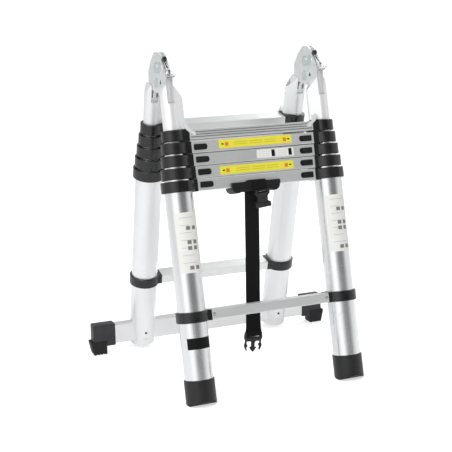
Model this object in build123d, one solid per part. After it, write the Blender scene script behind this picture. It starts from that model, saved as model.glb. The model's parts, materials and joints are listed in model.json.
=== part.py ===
from build123d import *

import os
from math import atan2, cos, degrees, hypot, radians, sin, sqrt

# Telescoping A-frame ladder: two telescoping legs on a locking hinge, standing open.
# Millimetres, +Z up, +X to the right when facing the front leg's climbing side from -Y.
# The origin is on the floor, midway between the four points that the ladder stands on.
#
# Each leg is modelled in its own frame: z runs up the leg from the floor, and "out" is -1 for
# the front leg and +1 for the rear leg, so that y = out * q for a distance q to the outside.
# Stages count from the widest, lowest tube (1) to the slimmest, highest tube (5).

FRONT, REAR = -1, 1
LEFT, RIGHT = -1, 1
SIDES = (LEFT, RIGHT)
STAGES = 5

# Stance and telescoping
LEAN = 13.6  # each leg's lean from the vertical, degrees
STILE_X = 202.5  # stile axis to the ladder's middle plane
RUNG_SPACING = 312.0  # between rungs, extended
PITCH = 30.5  # between rungs, collapsed
TRAVEL = RUNG_SPACING - PITCH
STACK_BOTTOM = 508.5  # underside of the stage 1 collar, up the leg
REAR_RISE = 4.0  # the rear leg stands on the stabiliser, which carries its stack a little higher

# Hinge pivot, up the leg and in from the stile axis
PIVOT_H = 818.0
PIVOT_OFFSET = 41.0
PIVOT_Z = PIVOT_H * cos(radians(LEAN)) - PIVOT_OFFSET * sin(radians(LEAN))
FOOT_SPREAD = PIVOT_H * sin(radians(LEAN)) + PIVOT_OFFSET * cos(radians(LEAN))

# Stile tubes
TUBE_RADIUS = 34.75  # stage 1
TUBE_STEP = 3.5  # radius lost per stage
TUBE_WALL = 1.5
TUBE_BOTTOM = 14.0  # stage 1 lower end
TUBE_OVERLAP = 40.0  # tube left below its lock hole
SLOT_BOTTOM = 722.0  # slot for the hinge in the stage 5 tubes
SLOT_HALF = 9.0
SHOULDER_BOTTOM = 728.0  # the stage 5 tubes close over the hinge in two shoulders
SHOULDER_TOP = 765.0

# Collars and bushes
COLLAR_HEIGHT = 27.0
COLLAR_LIP = 3.5
COLLAR_OVERHANG = 7.0
COLLAR_INNER_FLAT = 40.0
COLLAR_EDGE = 1.2
LUG_HEIGHT = 29.7  # taller than the ring, so that the lugs of a collapsed leg nearly touch
BASE_COLLAR_BOTTOM = 196.0
BASE_COLLAR_HEIGHT = 26.0
BASE_COLLAR_OVERHANG = 5.0
SNUG = 0.15
SLIDING = 0.3
BUSH_HEIGHT = 20.0
BUSH_RADIAL_GAP = 0.25
PLUG_LENGTH = 4.0

# Rungs
RUNG_DEPTH = 41.0
RUNG_HEIGHT = 28.5
BASE_RUNG_HEIGHT = 24.0
TOP_RUNG_HEIGHT = 23.0
RUNG_WALL = 1.8
RUNG_END_X = 158.5  # half length at stage 1
RUNG_END_STEP = 1.9  # half length gained per stage
GROOVE_DEPTH = 0.7
GROOVE_WIDTH = 2.0
TREAD_GROOVES = 6
FACE_GROOVES = 3

# Thumb latches
WINDOW_LENGTH = 35.0
WINDOW_HEIGHT = 14.5
WINDOW_FROM_END = 5.8
WINDOW_INNER_ROUND = 6.0
WINDOW_OUTER_ROUND = 2.0
LATCH_TRAVEL = 8.0
PIN_RADIUS = 4.0
PIN_BORE = 4.4
PIN_TIP_GAP = 0.4

# Feet and stabiliser
FOOT_RADIUS = 37.5
FOOT_TOP = 59.0
SOLE_RADIUS = 46.0  # rockered sole, for standing open or leaning as a single ladder
SOLE_LAND = 1.0  # depth cut from the rocker to leave a level land
SOLE_GROOVES = 6
SOLE_GROOVE_WIDTH = 3.0
SOLE_GROOVE_DEPTH = 2.0
BAR_FRONT = 200.0
BAR_DEPTH = 26.0
BAR_HEIGHT = 54.0
BAR_BOTTOM = 26.0
BAR_WALL = 2.0
BAR_HALF = 346.0
CAP_HALF = 348.0  # outer end of each cap
CAP_LENGTH = 62.0
CAP_FOOT_LENGTH = 38.0
CAP_FOOT_TOP = 37.5
CAP_FOOT_FLARE = 7.5  # how far the foot's upper edge stands outside its cap
CAP_FOOT_LEDGE = 1.5  # how far the foot stands out at the front and back
CAP_WALL = 2.5

# Hinge
CHEEK_INNER = 5.0  # from the stile's middle plane
CHEEK_OUTER = 8.5
LEAF_HALF = 4.5
DISC_RADIUS = 34.5
PIVOT_RADIUS = 8.0
RUNNING = 0.05
PIVOT_HEAD_RADIUS = 13.0
PIVOT_HEAD_HEIGHT = 2.5
TAIL_HALF = 16.0  # half width of the plates inside the stile
TAIL_BOTTOM = 662.0
SLOPE_TOP = (-27.0, 31.5)  # ends of the cheeks' sloping front edge, from the pivot
SLOPE_END = (-66.0, -13.0)
HEAD_CORNER_RADIUS = 6.0
SPACER_TOP = 773.0
SPACER_HORN_TOP = 786.0
SPACER_HORN_FROM = 6.0
PACKER_TOP = 733.0

# Release levers, placed along the cheeks' sloping front edge: t down the slope, then the offset
LEVER_TOOTH_T = 20.0
LEVER_PIN_T = 44.0
LEVER_PIN_DEPTH = 7.0
LEVER_PIN_RADIUS = 3.0
LEVER_BOSS_RADIUS = 5.5
LEVER_HALF = 8.5
LEVER_ARM_HALF = 4.6
LEVER_WEB_HALF = 4.0
LEVER_CLEARANCE = 1.2
KNOB_T = 11.0
KNOB_OFFSET = 3.2
KNOB_RADIUS = 5.2
TOOTH_HALF = 3.8
TOOTH_WIDTH = 7.0
TOOTH_GAP = 0.4
TOOTH_LENGTH = 10.0
NOTCH_WIDTH = 10.0
NOTCH_DEPTH = 6.0
FOLD_STOPS = (0.0, -2 * LEAN, 180 - 2 * LEAN)  # standing, folded flat, straight

# Stays beside the stage 5 tubes
STAY_REACH = 33.75  # from the stile axis towards the rung
STAY_WALL = 2.0
STAY_ROOT = (12.0, 17.5)  # where each slanting face meets the tube: towards the rung, outwards
STAY_NOSE_HALF = 6.0
STAY_TOP = 737.0
STAY_FOOT_REACH = 53.0
STAY_FOOT_DROP = 18.0

# Handle and strap, under the front leg's stage 1 rung
HANDLE_LEFT = -71.0
HANDLE_RIGHT = 56.0
HANDLE_DROP = 12.5  # below the rung
HANDLE_LIP = 8.0  # proud of the rung's face
HANDLE_LIP_TOP = 520.0
HANDLE_BACK = -8.0
CURL_RADIUS = 8.0
CURL_BACK = -22.0
STRAP_Y = -132.0
STRAP_X = -19.0
STRAP_WIDTH = 38.0
STRAP_THICKNESS = 2.4
STRAP_TOP = 484.0
STRAP_BOTTOM = 124.0
BUCKLE_WIDTH = 47.0
BUCKLE_BOTTOM = 72.0
BUCKLE_BODY = 17.0
BUCKLE_THICKNESS = 9.0
BUCKLE_SLOT = (8.0, 4.0)  # top and bottom of the webbing slot, below the buckle's top
PRONG_WIDTH = 7.0
SOCKET_X = 3.0
SOCKET_Y = -143.0
SOCKET_BOTTOM = 445.0
SOCKET_TOP = 485.0
SOCKET_HALF = 21.0
SOCKET_WAIST_HALF = 13.5
SOCKET_DEPTH = 11.0
SOCKET_WALL = 2.0

BASE = (Align.CENTER, Align.CENTER, Align.MIN)


def block(x0, x1, y0, y1, z0, z1):
    """Box between two corners, given in any order."""
    return Pos((x0 + x1) / 2, (y0 + y1) / 2, (z0 + z1) / 2) * Box(abs(x1 - x0), abs(y1 - y0), abs(z1 - z0))


def upright(radius, z0, z1, x=0.0, y=0.0):
    """Cylinder along z."""
    return Pos(x, y, z0) * Cylinder(radius, z1 - z0, align=BASE)


def crosswise(radius, x0, x1, y=0.0, z=0.0):
    """Cylinder along x."""
    return Pos(min(x0, x1), y, z) * Rot(0, 90, 0) * Cylinder(radius, abs(x1 - x0), align=BASE)


def prism(points, x0, x1):
    """Outline in the y-z plane, carried from x0 to x1."""
    outline = Plane.YZ * make_face(Polyline(*points, close=True))
    return Pos(min(x0, x1), 0, 0) * extrude(outline, amount=abs(x1 - x0), dir=(1, 0, 0))


def radial_block(inner, outer, width, half, angle):
    """Block lying along a radius in the y-z plane, at an angle from +y towards +z, in degrees."""
    return Rot(angle, 0, 0) * block(-half, half, inner, outer, -width / 2, width / 2)


def on_leg(part, out):
    """Place a part from a leg's own frame."""
    return Pos(0, out * FOOT_SPREAD, 0) * Rot(out * LEAN, 0, 0) * part


def tube_radius(stage):
    return TUBE_RADIUS - TUBE_STEP * (stage - 1)


def collar_bottom(stage):
    """Underside of a stage's collar with the leg collapsed, before the leg's rise."""
    return STACK_BOTTOM + PITCH * (stage - 1)


def latch_height(stage):
    return collar_bottom(stage) + COLLAR_HEIGHT / 2


def rise(out):
    """How far a leg's telescoping stack is carried up its leg."""
    return REAR_RISE if out == REAR else 0.0


def on_stack(part, out):
    """Place a part of a leg's telescoping stack."""
    return on_leg(Pos(0, 0, rise(out)) * part, out)


def shoulder_curve(reach):
    """Height of the closed tops of the stage 5 tubes, by distance from the middle of the stile."""
    share = (reach - SLOT_HALF) / (tube_radius(STAGES) - SLOT_HALF)
    return SHOULDER_BOTTOM + (SHOULDER_TOP - SHOULDER_BOTTOM) * sqrt(max(0.0, 1 - share**2))


def rung_end(stage):
    return RUNG_END_X + RUNG_END_STEP * (stage - 1)


def lock_hole_height(stage):
    """Height of the hole in this tube that the stage below locks into when extended."""
    return latch_height(stage - 1) - TRAVEL


def tube_bottom(stage):
    return TUBE_BOTTOM if stage == 1 else lock_hole_height(stage) - TUBE_OVERLAP


# ---------------------------------------------------------------- stile tubes


def above_shoulders(x, side):
    """Space over the closed top of a stage 5 tube: rounded outside, straight on the rung's side."""
    radius = tube_radius(STAGES)
    top = SHOULDER_TOP + 1
    steps = 6
    reaches = [SLOT_HALF + (radius - SLOT_HALF) * step / steps for step in range(steps + 1)]
    outer = [(x + side * reach, shoulder_curve(reach)) for reach in reaches]
    outer += [(x + side * (radius + 1), SHOULDER_BOTTOM), (x + side * (radius + 1), top)]
    inner = [
        (x - side * SLOT_HALF, SHOULDER_TOP),
        (x - side * (STAY_REACH + 1), STAY_TOP),
        (x - side * (STAY_REACH + 1), top),
    ]
    outline = make_face(Polyline(*outer, *reversed(inner), close=True))
    face = Pos(0, radius + 1, 0) * (Plane.XZ * outline)
    return extrude(face, amount=2 * radius + 2, dir=(0, -1, 0))


def upper_tube(side):
    """Stage 5 tube: its top is closed by two shoulders, one on each side of the hinge's slot."""
    radius = tube_radius(STAGES)
    x = side * STILE_X
    low = tube_bottom(STAGES)
    tube = upright(radius, low, SHOULDER_TOP + 0.5, x)
    tube -= upright(radius - TUBE_WALL, low, SHOULDER_BOTTOM, x)
    tube -= above_shoulders(x, side)
    reach = radius + 1
    return tube - block(x - SLOT_HALF, x + SLOT_HALF, -reach, reach, SLOT_BOTTOM, SHOULDER_TOP + 1)


def stile_tube(stage, side):
    radius = tube_radius(stage)
    x = side * STILE_X
    low = tube_bottom(stage)
    rung_side = x - side * (radius + 1)
    if stage == STAGES:
        tube = upper_tube(side)
    else:
        high = collar_bottom(stage) + COLLAR_HEIGHT - COLLAR_LIP
        tube = upright(radius, low, high, x) - upright(radius - TUBE_WALL, low, high, x)
        tube -= crosswise(PIN_BORE, x, rung_side, z=latch_height(stage))
    if stage > 1:
        tube -= crosswise(PIN_BORE, x, rung_side, z=lock_hole_height(stage))
    return tube


def stabiliser_hole(side):
    """World-frame clearance through a rear tube for the stabiliser bar."""
    x = side * STILE_X
    reach = TUBE_RADIUS + 2
    return block(
        x - reach,
        x + reach,
        BAR_FRONT - SNUG,
        BAR_FRONT + BAR_DEPTH + SNUG,
        BAR_BOTTOM - SNUG,
        BAR_BOTTOM + BAR_HEIGHT + SNUG,
    )


def tube_pair(stage, out):
    if stage == STAGES:
        return [on_leg(stile_tube(stage, side), out) for side in SIDES]
    tubes = [on_stack(stile_tube(stage, side), out) for side in SIDES]
    if stage == 1 and out == REAR:
        tubes = [tube - stabiliser_hole(side) for tube, side in zip(tubes, SIDES)]
    return tubes


# ---------------------------------------------------------------- collars and bushes


def collar(stage, side, bottom, height, lug_height, overhang, plug_height):
    """Ring round the top of a tube, with a square lug that plugs into the end of the rung."""
    x = side * STILE_X
    radius = tube_radius(stage) + overhang
    top = bottom + height
    half = RUNG_DEPTH / 2
    ring = upright(radius, bottom, top, x)
    ring = chamfer(ring.edges(), COLLAR_EDGE)
    ring &= block(x - radius, x + radius, -COLLAR_INNER_FLAT, COLLAR_INNER_FLAT, bottom, top)
    middle = (bottom + top) / 2
    end = rung_end(stage)
    lug = block(x, side * end, -half, half, middle - lug_height / 2, middle + lug_height / 2)
    lug = fillet(lug.edges().filter_by(Axis.X), COLLAR_EDGE)
    inside = half - RUNG_WALL - SNUG
    plug_low = middle - plug_height / 2
    plug = block(side * end, side * (end - PLUG_LENGTH), -inside, inside, plug_low, plug_low + plug_height)
    return ring + lug + plug


def top_collar(stage, side):
    """Collar at the top of a tube. The next tube slides through its lip, and the lock pin through its lug."""
    x = side * STILE_X
    bottom = collar_bottom(stage)
    top = bottom + COLLAR_HEIGHT
    latched = stage < STAGES
    rung_height = RUNG_HEIGHT if latched else TOP_RUNG_HEIGHT
    plug_height = rung_height - 2 * RUNG_WALL - 2 * SNUG
    body = collar(stage, side, bottom, COLLAR_HEIGHT, LUG_HEIGHT, COLLAR_OVERHANG, plug_height)
    bore = tube_radius(stage) + SNUG
    if not latched:
        return body - upright(bore, bottom - 2, top + 2, x)
    body -= upright(bore, bottom - 2, top - COLLAR_LIP + SNUG, x)
    body -= upright(tube_radius(stage + 1) + SLIDING, bottom, top + 2, x)
    return body - crosswise(PIN_BORE, x, side * (rung_end(stage) - PLUG_LENGTH - 1), z=latch_height(stage))


def base_collar(side):
    """Plain collar round a stage 1 tube, carrying the lowest rung."""
    plug_height = BASE_RUNG_HEIGHT - 2 * RUNG_WALL - 2 * SNUG
    height = BASE_COLLAR_HEIGHT
    body = collar(1, side, BASE_COLLAR_BOTTOM, height, height, BASE_COLLAR_OVERHANG, plug_height)
    top = BASE_COLLAR_BOTTOM + height
    return body - upright(tube_radius(1) + SNUG, BASE_COLLAR_BOTTOM - 1, top + 1, side * STILE_X)


def bush(stage, side):
    """Glide bush round the lower end of a tube, running in the tube outside it."""
    x = side * STILE_X
    low = tube_bottom(stage)
    outer = tube_radius(stage - 1) - TUBE_WALL - BUSH_RADIAL_GAP
    sleeve = upright(outer, low, low + BUSH_HEIGHT, x)
    return sleeve - upright(tube_radius(stage) + SNUG, low, low + BUSH_HEIGHT, x)


def guide_set(stage, out):
    pieces = [on_stack(top_collar(stage, side), out) for side in SIDES]
    if stage > 1:
        pieces += [on_stack(bush(stage, side), out) for side in SIDES]
    else:
        pieces += [on_stack(base_collar(side), out) for side in SIDES]
    return pieces


# ---------------------------------------------------------------- rungs


def round_ends(shape, side, inner_round, outer_round):
    """Round a box's corners, seen from the front: the pair near the middle, then the pair near the stile."""
    corners = shape.edges().filter_by(Axis.Y).sort_by(Axis.X, reverse=side == LEFT)
    shape = fillet(corners[:2], inner_round)
    corners = shape.edges().filter_by(Axis.Y).sort_by(Axis.X, reverse=side == LEFT)
    return fillet(corners[-2:], outer_round)


def rung(end, bottom, height, out, windows, ribbed):
    """Hollow extruded rung with a grooved tread, and a window at each end for the latches."""
    half = RUNG_DEPTH / 2
    top = bottom + height
    body = block(-end, end, -half, half, bottom, top)
    body = fillet(body.edges().filter_by(Axis.X), 1.2)
    body -= block(-end, end, RUNG_WALL - half, half - RUNG_WALL, bottom + RUNG_WALL, top - RUNG_WALL)
    spacing = (RUNG_DEPTH - 8) / (TREAD_GROOVES - 1)
    for index in range(TREAD_GROOVES):
        y = -half + 4 + spacing * index
        body -= block(-end, end, y - GROOVE_WIDTH / 2, y + GROOVE_WIDTH / 2, top - GROOVE_DEPTH, top)
    face = out * half
    if ribbed:
        for index in range(FACE_GROOVES):
            z = bottom + height * (index + 1) / (FACE_GROOVES + 1)
            low, high = z - GROOVE_WIDTH / 2, z + GROOVE_WIDTH / 2
            body -= block(-end, end, face - out * GROOVE_DEPTH, face, low, high)
    if windows:
        middle = bottom + height / 2
        for side in SIDES:
            outer = side * (end - WINDOW_FROM_END)
            inner = outer - side * WINDOW_LENGTH
            low, high = middle - WINDOW_HEIGHT / 2, middle + WINDOW_HEIGHT / 2
            hole = block(outer, inner, face + out, face - out * (RUNG_WALL + 0.5), low, high)
            body -= round_ends(hole, side, WINDOW_INNER_ROUND, WINDOW_OUTER_ROUND)
    return body


def rung_middle(stage):
    return collar_bottom(stage) + COLLAR_HEIGHT / 2


def stage_rung(stage, out):
    latched = stage < STAGES
    height = RUNG_HEIGHT if latched else TOP_RUNG_HEIGHT
    bottom = rung_middle(stage) - height / 2
    return on_stack(rung(rung_end(stage), bottom, height, out, latched, not latched), out)


def base_rungs(out):
    bottom = BASE_COLLAR_BOTTOM + (BASE_COLLAR_HEIGHT - BASE_RUNG_HEIGHT) / 2
    low = rung(rung_end(1), bottom, BASE_RUNG_HEIGHT, out, False, False)
    return [stage_rung(1, out), on_stack(low, out)]


# ---------------------------------------------------------------- thumb latches


def latch(stage, side, out):
    """Thumb pad, slider plate and lock pin, in one piece. The pin points at the next tube."""
    end = rung_end(stage)
    z = latch_height(stage)
    face = RUNG_DEPTH / 2
    inside = face - RUNG_WALL
    pad_outer = end - WINDOW_FROM_END - 0.5
    pad_inner = end - WINDOW_FROM_END - WINDOW_LENGTH + LATCH_TRAVEL + 0.3
    pad_half = WINDOW_HEIGHT / 2 - 0.4
    plate_outer = end - PLUG_LENGTH - 0.5
    plate_inner = pad_inner - 9.0
    web_inner = plate_outer - 12.0
    tip = STILE_X - tube_radius(stage + 1) - PIN_TIP_GAP
    pad_low, pad_high = z - pad_half, z + pad_half
    proud = face + 1.5
    pad = block(side * pad_inner, side * pad_outer, out * (inside - 2), out * proud, pad_low, pad_high)
    pad = round_ends(pad, side, WINDOW_INNER_ROUND, WINDOW_OUTER_ROUND)
    plate_back, plate_front = out * (inside - 4), out * (inside - 0.3)
    plate = block(side * plate_inner, side * plate_outer, plate_back, plate_front, z - 9, z + 9)
    web = block(side * web_inner, side * plate_outer, -out * 6, out * (inside - 3), z - 6, z + 6)
    pin = crosswise(PIN_RADIUS, side * web_inner, side * tip, z=z)
    return on_stack(pad + plate + web + pin, out)


# ---------------------------------------------------------------- feet and stabiliser


def foot(side):
    """Rubber cap on a front tube, with a rockered sole that ends in a level, grooved land."""
    x = side * STILE_X
    cap = upright(FOOT_RADIUS, -15, FOOT_TOP, x)
    cap = fillet(cap.edges().group_by(Axis.Z)[-1], 2.0)
    cap -= upright(TUBE_RADIUS + SNUG, TUBE_BOTTOM, FOOT_TOP + 1, x)
    cap = on_leg(cap, FRONT)
    y = -FOOT_SPREAD
    reach = FOOT_RADIUS + 10
    centre = SOLE_RADIUS - SOLE_LAND
    cutter = block(x - reach, x + reach, y - 2 * reach, y + 2 * reach, -2 * reach, centre)
    cutter -= crosswise(SOLE_RADIUS, x - reach, x + reach, y, centre)
    cap -= cutter
    cap -= block(x - reach, x + reach, y - reach, y + reach, -2 * reach, 0)
    spacing = 2 * FOOT_RADIUS / SOLE_GROOVES
    for index in range(SOLE_GROOVES):
        angle = degrees(spacing * (index - (SOLE_GROOVES - 1) / 2) / SOLE_RADIUS)
        inner = SOLE_RADIUS - SOLE_GROOVE_DEPTH
        groove = radial_block(inner, SOLE_RADIUS + 2, SOLE_GROOVE_WIDTH, reach, angle - 90)
        cap -= Pos(x, y, centre) * groove
    return cap


def stabiliser_bar():
    back = BAR_FRONT + BAR_DEPTH
    top = BAR_BOTTOM + BAR_HEIGHT
    bar = block(-BAR_HALF, BAR_HALF, BAR_FRONT, back, BAR_BOTTOM, top)
    bar = fillet(bar.edges().filter_by(Axis.X), 2.5)
    return bar - block(
        -BAR_HALF, BAR_HALF, BAR_FRONT + BAR_WALL, back - BAR_WALL, BAR_BOTTOM + BAR_WALL, top - BAR_WALL
    )


def stabiliser_cap(side):
    """Plastic socket over the end of the bar, with a flared foot round its outer lower part."""
    outer = side * CAP_HALF
    inner = side * (CAP_HALF - CAP_LENGTH)
    foot_inner = side * (CAP_HALF - CAP_FOOT_LENGTH)
    front = BAR_FRONT - CAP_WALL
    back = BAR_FRONT + BAR_DEPTH + CAP_WALL
    low = BAR_BOTTOM - CAP_WALL
    high = BAR_BOTTOM + BAR_HEIGHT + CAP_WALL
    socket = block(outer, inner, front, back, low, high)
    socket = fillet(socket.edges().filter_by(Axis.X), 2.0)
    flared = side * (CAP_HALF + CAP_FOOT_FLARE)
    foot_corners = [(foot_inner, 0), (outer, 0), (flared, CAP_FOOT_TOP), (foot_inner, CAP_FOOT_TOP)]
    foot_face = Plane.XZ * make_face(Polyline(*foot_corners, close=True))
    foot_depth = back - front + 2 * CAP_FOOT_LEDGE
    socket += Pos(0, front - CAP_FOOT_LEDGE, 0) * extrude(foot_face, amount=foot_depth, dir=(0, 1, 0))
    socket -= block(
        side * (BAR_HALF + 0.2),
        inner,
        BAR_FRONT - SNUG,
        BAR_FRONT + BAR_DEPTH + SNUG,
        BAR_BOTTOM - SNUG,
        BAR_BOTTOM + BAR_HEIGHT + SNUG,
    )
    return socket


# ---------------------------------------------------------------- hinge


def slope_direction():
    """Unit vector down the cheeks' sloping front edge, in (y, z)."""
    dy = SLOPE_END[0] - SLOPE_TOP[0]
    dz = SLOPE_END[1] - SLOPE_TOP[1]
    length = hypot(dy, dz)
    return dy / length, dz / length


def lever_point(t, offset):
    """Point, from the pivot, a distance t down the sloping edge from its top and offset outside it."""
    dy, dz = slope_direction()
    return SLOPE_TOP[0] + t * dy + offset * dz, SLOPE_TOP[1] + t * dz - offset * dy


def tooth_angle():
    """Direction of the lock tooth from the pivot, from +y towards +z, in degrees."""
    y, z = lever_point(LEVER_TOOTH_T, 0)
    return degrees(atan2(z, y))


def from_pivot(part, side):
    """Place a part modelled round the pivot into the world."""
    return Pos(side * STILE_X, 0, PIVOT_Z) * part


def tail(x0, x1, z0, z1):
    """Plate inside a stile, in the leg's frame, centred on the stile."""
    return block(x0, x1, -TAIL_HALF, TAIL_HALF, z0, z1)


def cheek_head():
    """Outline of the cheek round the pivot: narrow top, sloping shoulders, a lobe over each leg."""
    top = [(-13, 38), (13, 37), (22, 30.5), (40, 16)]
    rear_lobe = [(61, -11), (62, -42), (52, -54)]
    front_lobe = [(0, -59.5), (-18, -62), (-36, -66), (-58, -62), (-69, -46)]
    outline = make_face(Polyline(*top, *rear_lobe, *front_lobe, SLOPE_END, SLOPE_TOP, close=True))
    return fillet(outline.vertices(), HEAD_CORNER_RADIUS)


def cheek(side, face):
    """One outer plate of the front hinge half. face -1 or 1 is the side of the stile's middle plane."""
    x0 = face * CHEEK_INNER
    x1 = face * CHEEK_OUTER
    head = Plane.YZ * cheek_head()
    plate = Pos(min(x0, x1), 0, 0) * extrude(head, amount=abs(x1 - x0), dir=(1, 0, 0))
    plate = from_pivot(plate, side)
    stile = side * STILE_X
    plate += on_leg(tail(stile + x0, stile + x1, TAIL_BOTTOM, PIVOT_H - 45), FRONT)
    bore = crosswise(PIVOT_RADIUS + RUNNING, x0 - face, x1 + face)
    pin_y, pin_z = lever_point(LEVER_PIN_T, -LEVER_PIN_DEPTH)
    pin_hole = crosswise(LEVER_PIN_RADIUS + RUNNING, x0 - face, x1 + face, pin_y, pin_z)
    return plate - from_pivot(bore, side) - from_pivot(pin_hole, side)


def front_hinge_pieces():
    pieces = []
    for side in SIDES:
        stile = side * STILE_X
        pieces += [cheek(side, face) for face in SIDES]
        half = CHEEK_INNER - 0.1
        spacer = tail(stile - half, stile + half, TAIL_BOTTOM + 2, SPACER_TOP)
        horn_y = (-SPACER_HORN_FROM, -TAIL_HALF)
        spacer += block(stile - half, stile + half, *horn_y, SPACER_TOP - 1, SPACER_HORN_TOP)
        pieces.append(on_leg(spacer, FRONT))
    return pieces


def leaf_outline():
    """Rear hinge leaf in the leg's frame: a disc round the pivot running into the plate in the stile."""
    far = -PIVOT_OFFSET
    step_y, step_z = 31.0, 15.1
    disc = make_face(CenterArc((far, PIVOT_H), DISC_RADIUS, 0, 360))
    arm = make_face(
        Polyline(
            (far, PIVOT_H),
            (far + step_y, PIVOT_H - step_z),
            (far + 33, PIVOT_H - 27),
            (TAIL_HALF, PIVOT_H - 53),
            (TAIL_HALF, TAIL_BOTTOM),
            (-TAIL_HALF, TAIL_BOTTOM),
            (-TAIL_HALF, PIVOT_H - 75),
            (far - 8, PIVOT_H - 30),
            close=True,
        )
    )
    return disc + arm


def leaf(side):
    stile = side * STILE_X
    outline = Plane.YZ * leaf_outline()
    plate = Pos(stile - LEAF_HALF, 0, 0) * extrude(outline, amount=2 * LEAF_HALF, dir=(1, 0, 0))
    plate = on_leg(plate, REAR)
    plate -= from_pivot(crosswise(PIVOT_RADIUS + RUNNING, -LEAF_HALF - 1, LEAF_HALF + 1), side)
    for angle in FOLD_STOPS:
        floor = DISC_RADIUS - NOTCH_DEPTH
        notch = radial_block(floor, DISC_RADIUS + 6, NOTCH_WIDTH, LEAF_HALF + 1, tooth_angle() - angle)
        plate -= from_pivot(notch, side)
    return plate


def rear_hinge_pieces():
    pieces = []
    for side in SIDES:
        stile = side * STILE_X
        pieces.append(leaf(side))
        for face in SIDES:
            inner = stile + face * (LEAF_HALF + 0.1)
            outer = stile + face * (CHEEK_OUTER + 0.3)
            pieces.append(on_leg(tail(inner, outer, TAIL_BOTTOM + 2, PACKER_TOP), REAR))
    return pieces


def pivot_pin(side):
    head_outer = CHEEK_OUTER + 0.1 + PIVOT_HEAD_HEIGHT
    pin = crosswise(PIVOT_RADIUS, -CHEEK_OUTER - 1, CHEEK_OUTER + 1)
    for face in SIDES:
        head = crosswise(PIVOT_HEAD_RADIUS, face * (CHEEK_OUTER + 0.1), face * head_outer)
        pin += head
    return from_pivot(pin, side)


def stay_section(side, out, wall):
    """Outline of the channel that hugs the tube and narrows towards the rung, inset by a wall, in (x, y)."""
    x = side * STILE_X
    root_u, root_q = STAY_ROOT
    reach = STAY_REACH - wall
    nose = STAY_NOSE_HALF - wall / 2
    root = root_q - wall
    points = [(root_u, root), (reach - 3, nose + 1.2), (reach, nose - 2)]
    points += [(u, -q) for u, q in reversed(points)]
    return make_face(Polyline(*[(x - side * u, out * q) for u, q in points], close=True))


def hinge_stay(side, out):
    """Folded channel beside the upper tube, from its shoulder down to the top rung, with a riveted foot."""
    x = side * STILE_X
    low = collar_bottom(STAGES) + (COLLAR_HEIGHT + LUG_HEIGHT) / 2 + 0.3 + rise(out)
    tube_space = upright(tube_radius(STAGES) + SNUG, low - 1, SHOULDER_TOP, x)
    length = SHOULDER_TOP - low
    channel = Pos(0, 0, low) * extrude(stay_section(side, out, 0), amount=length, dir=(0, 0, 1))
    hollow = extrude(stay_section(side, out, STAY_WALL), amount=length + 2, dir=(0, 0, 1))
    channel -= Pos(0, 0, low - 1) * hollow
    channel -= tube_space
    radius = tube_radius(STAGES)
    drop_per_reach = (SHOULDER_TOP - STAY_TOP) / (STAY_REACH - SLOT_HALF)
    slope_top = SHOULDER_TOP - (STAY_ROOT[0] - SLOT_HALF) * drop_per_reach
    above = [
        (x - side * STAY_ROOT[0], slope_top),
        (x - side * (STAY_REACH - 3), STAY_TOP + 3 * drop_per_reach),
        (x - side * (STAY_REACH + 1), STAY_TOP - 4),
        (x - side * (STAY_REACH + 1), SHOULDER_TOP + 1),
        (x - side * STAY_ROOT[0], SHOULDER_TOP + 1),
    ]
    cutter = Pos(0, radius + 1, 0) * (Plane.XZ * make_face(Polyline(*above, close=True)))
    channel -= extrude(cutter, amount=2 * radius + 2, dir=(0, -1, 0))
    face = RUNG_DEPTH / 2 + 0.2
    foot_outline = [
        (x - side * 24, low + 14),
        (x - side * (STAY_REACH - 1), low + 14),
        (x - side * (STAY_REACH + 4), low - 1),
        (x - side * STAY_FOOT_REACH, low - STAY_FOOT_DROP + 7),
        (x - side * STAY_FOOT_REACH, low - STAY_FOOT_DROP + 2),
        (x - side * (STAY_FOOT_REACH - 6), low - STAY_FOOT_DROP),
        (x - side * 30, low - 4),
        (x - side * 24, low + 4),
    ]
    foot_back = max(out * face, out * (face + STAY_WALL))
    foot_face = Pos(0, foot_back, 0) * (Plane.XZ * make_face(Polyline(*foot_outline, close=True)))
    foot_plate = extrude(foot_face, amount=STAY_WALL, dir=(0, -1, 0))
    bridge = block(x - side * 26, x - side * (STAY_REACH - 2), out * 8, out * (face + 0.5), low, low + 13)
    return on_leg(channel + foot_plate + (bridge - tube_space), out)


# ---------------------------------------------------------------- release levers


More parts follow.
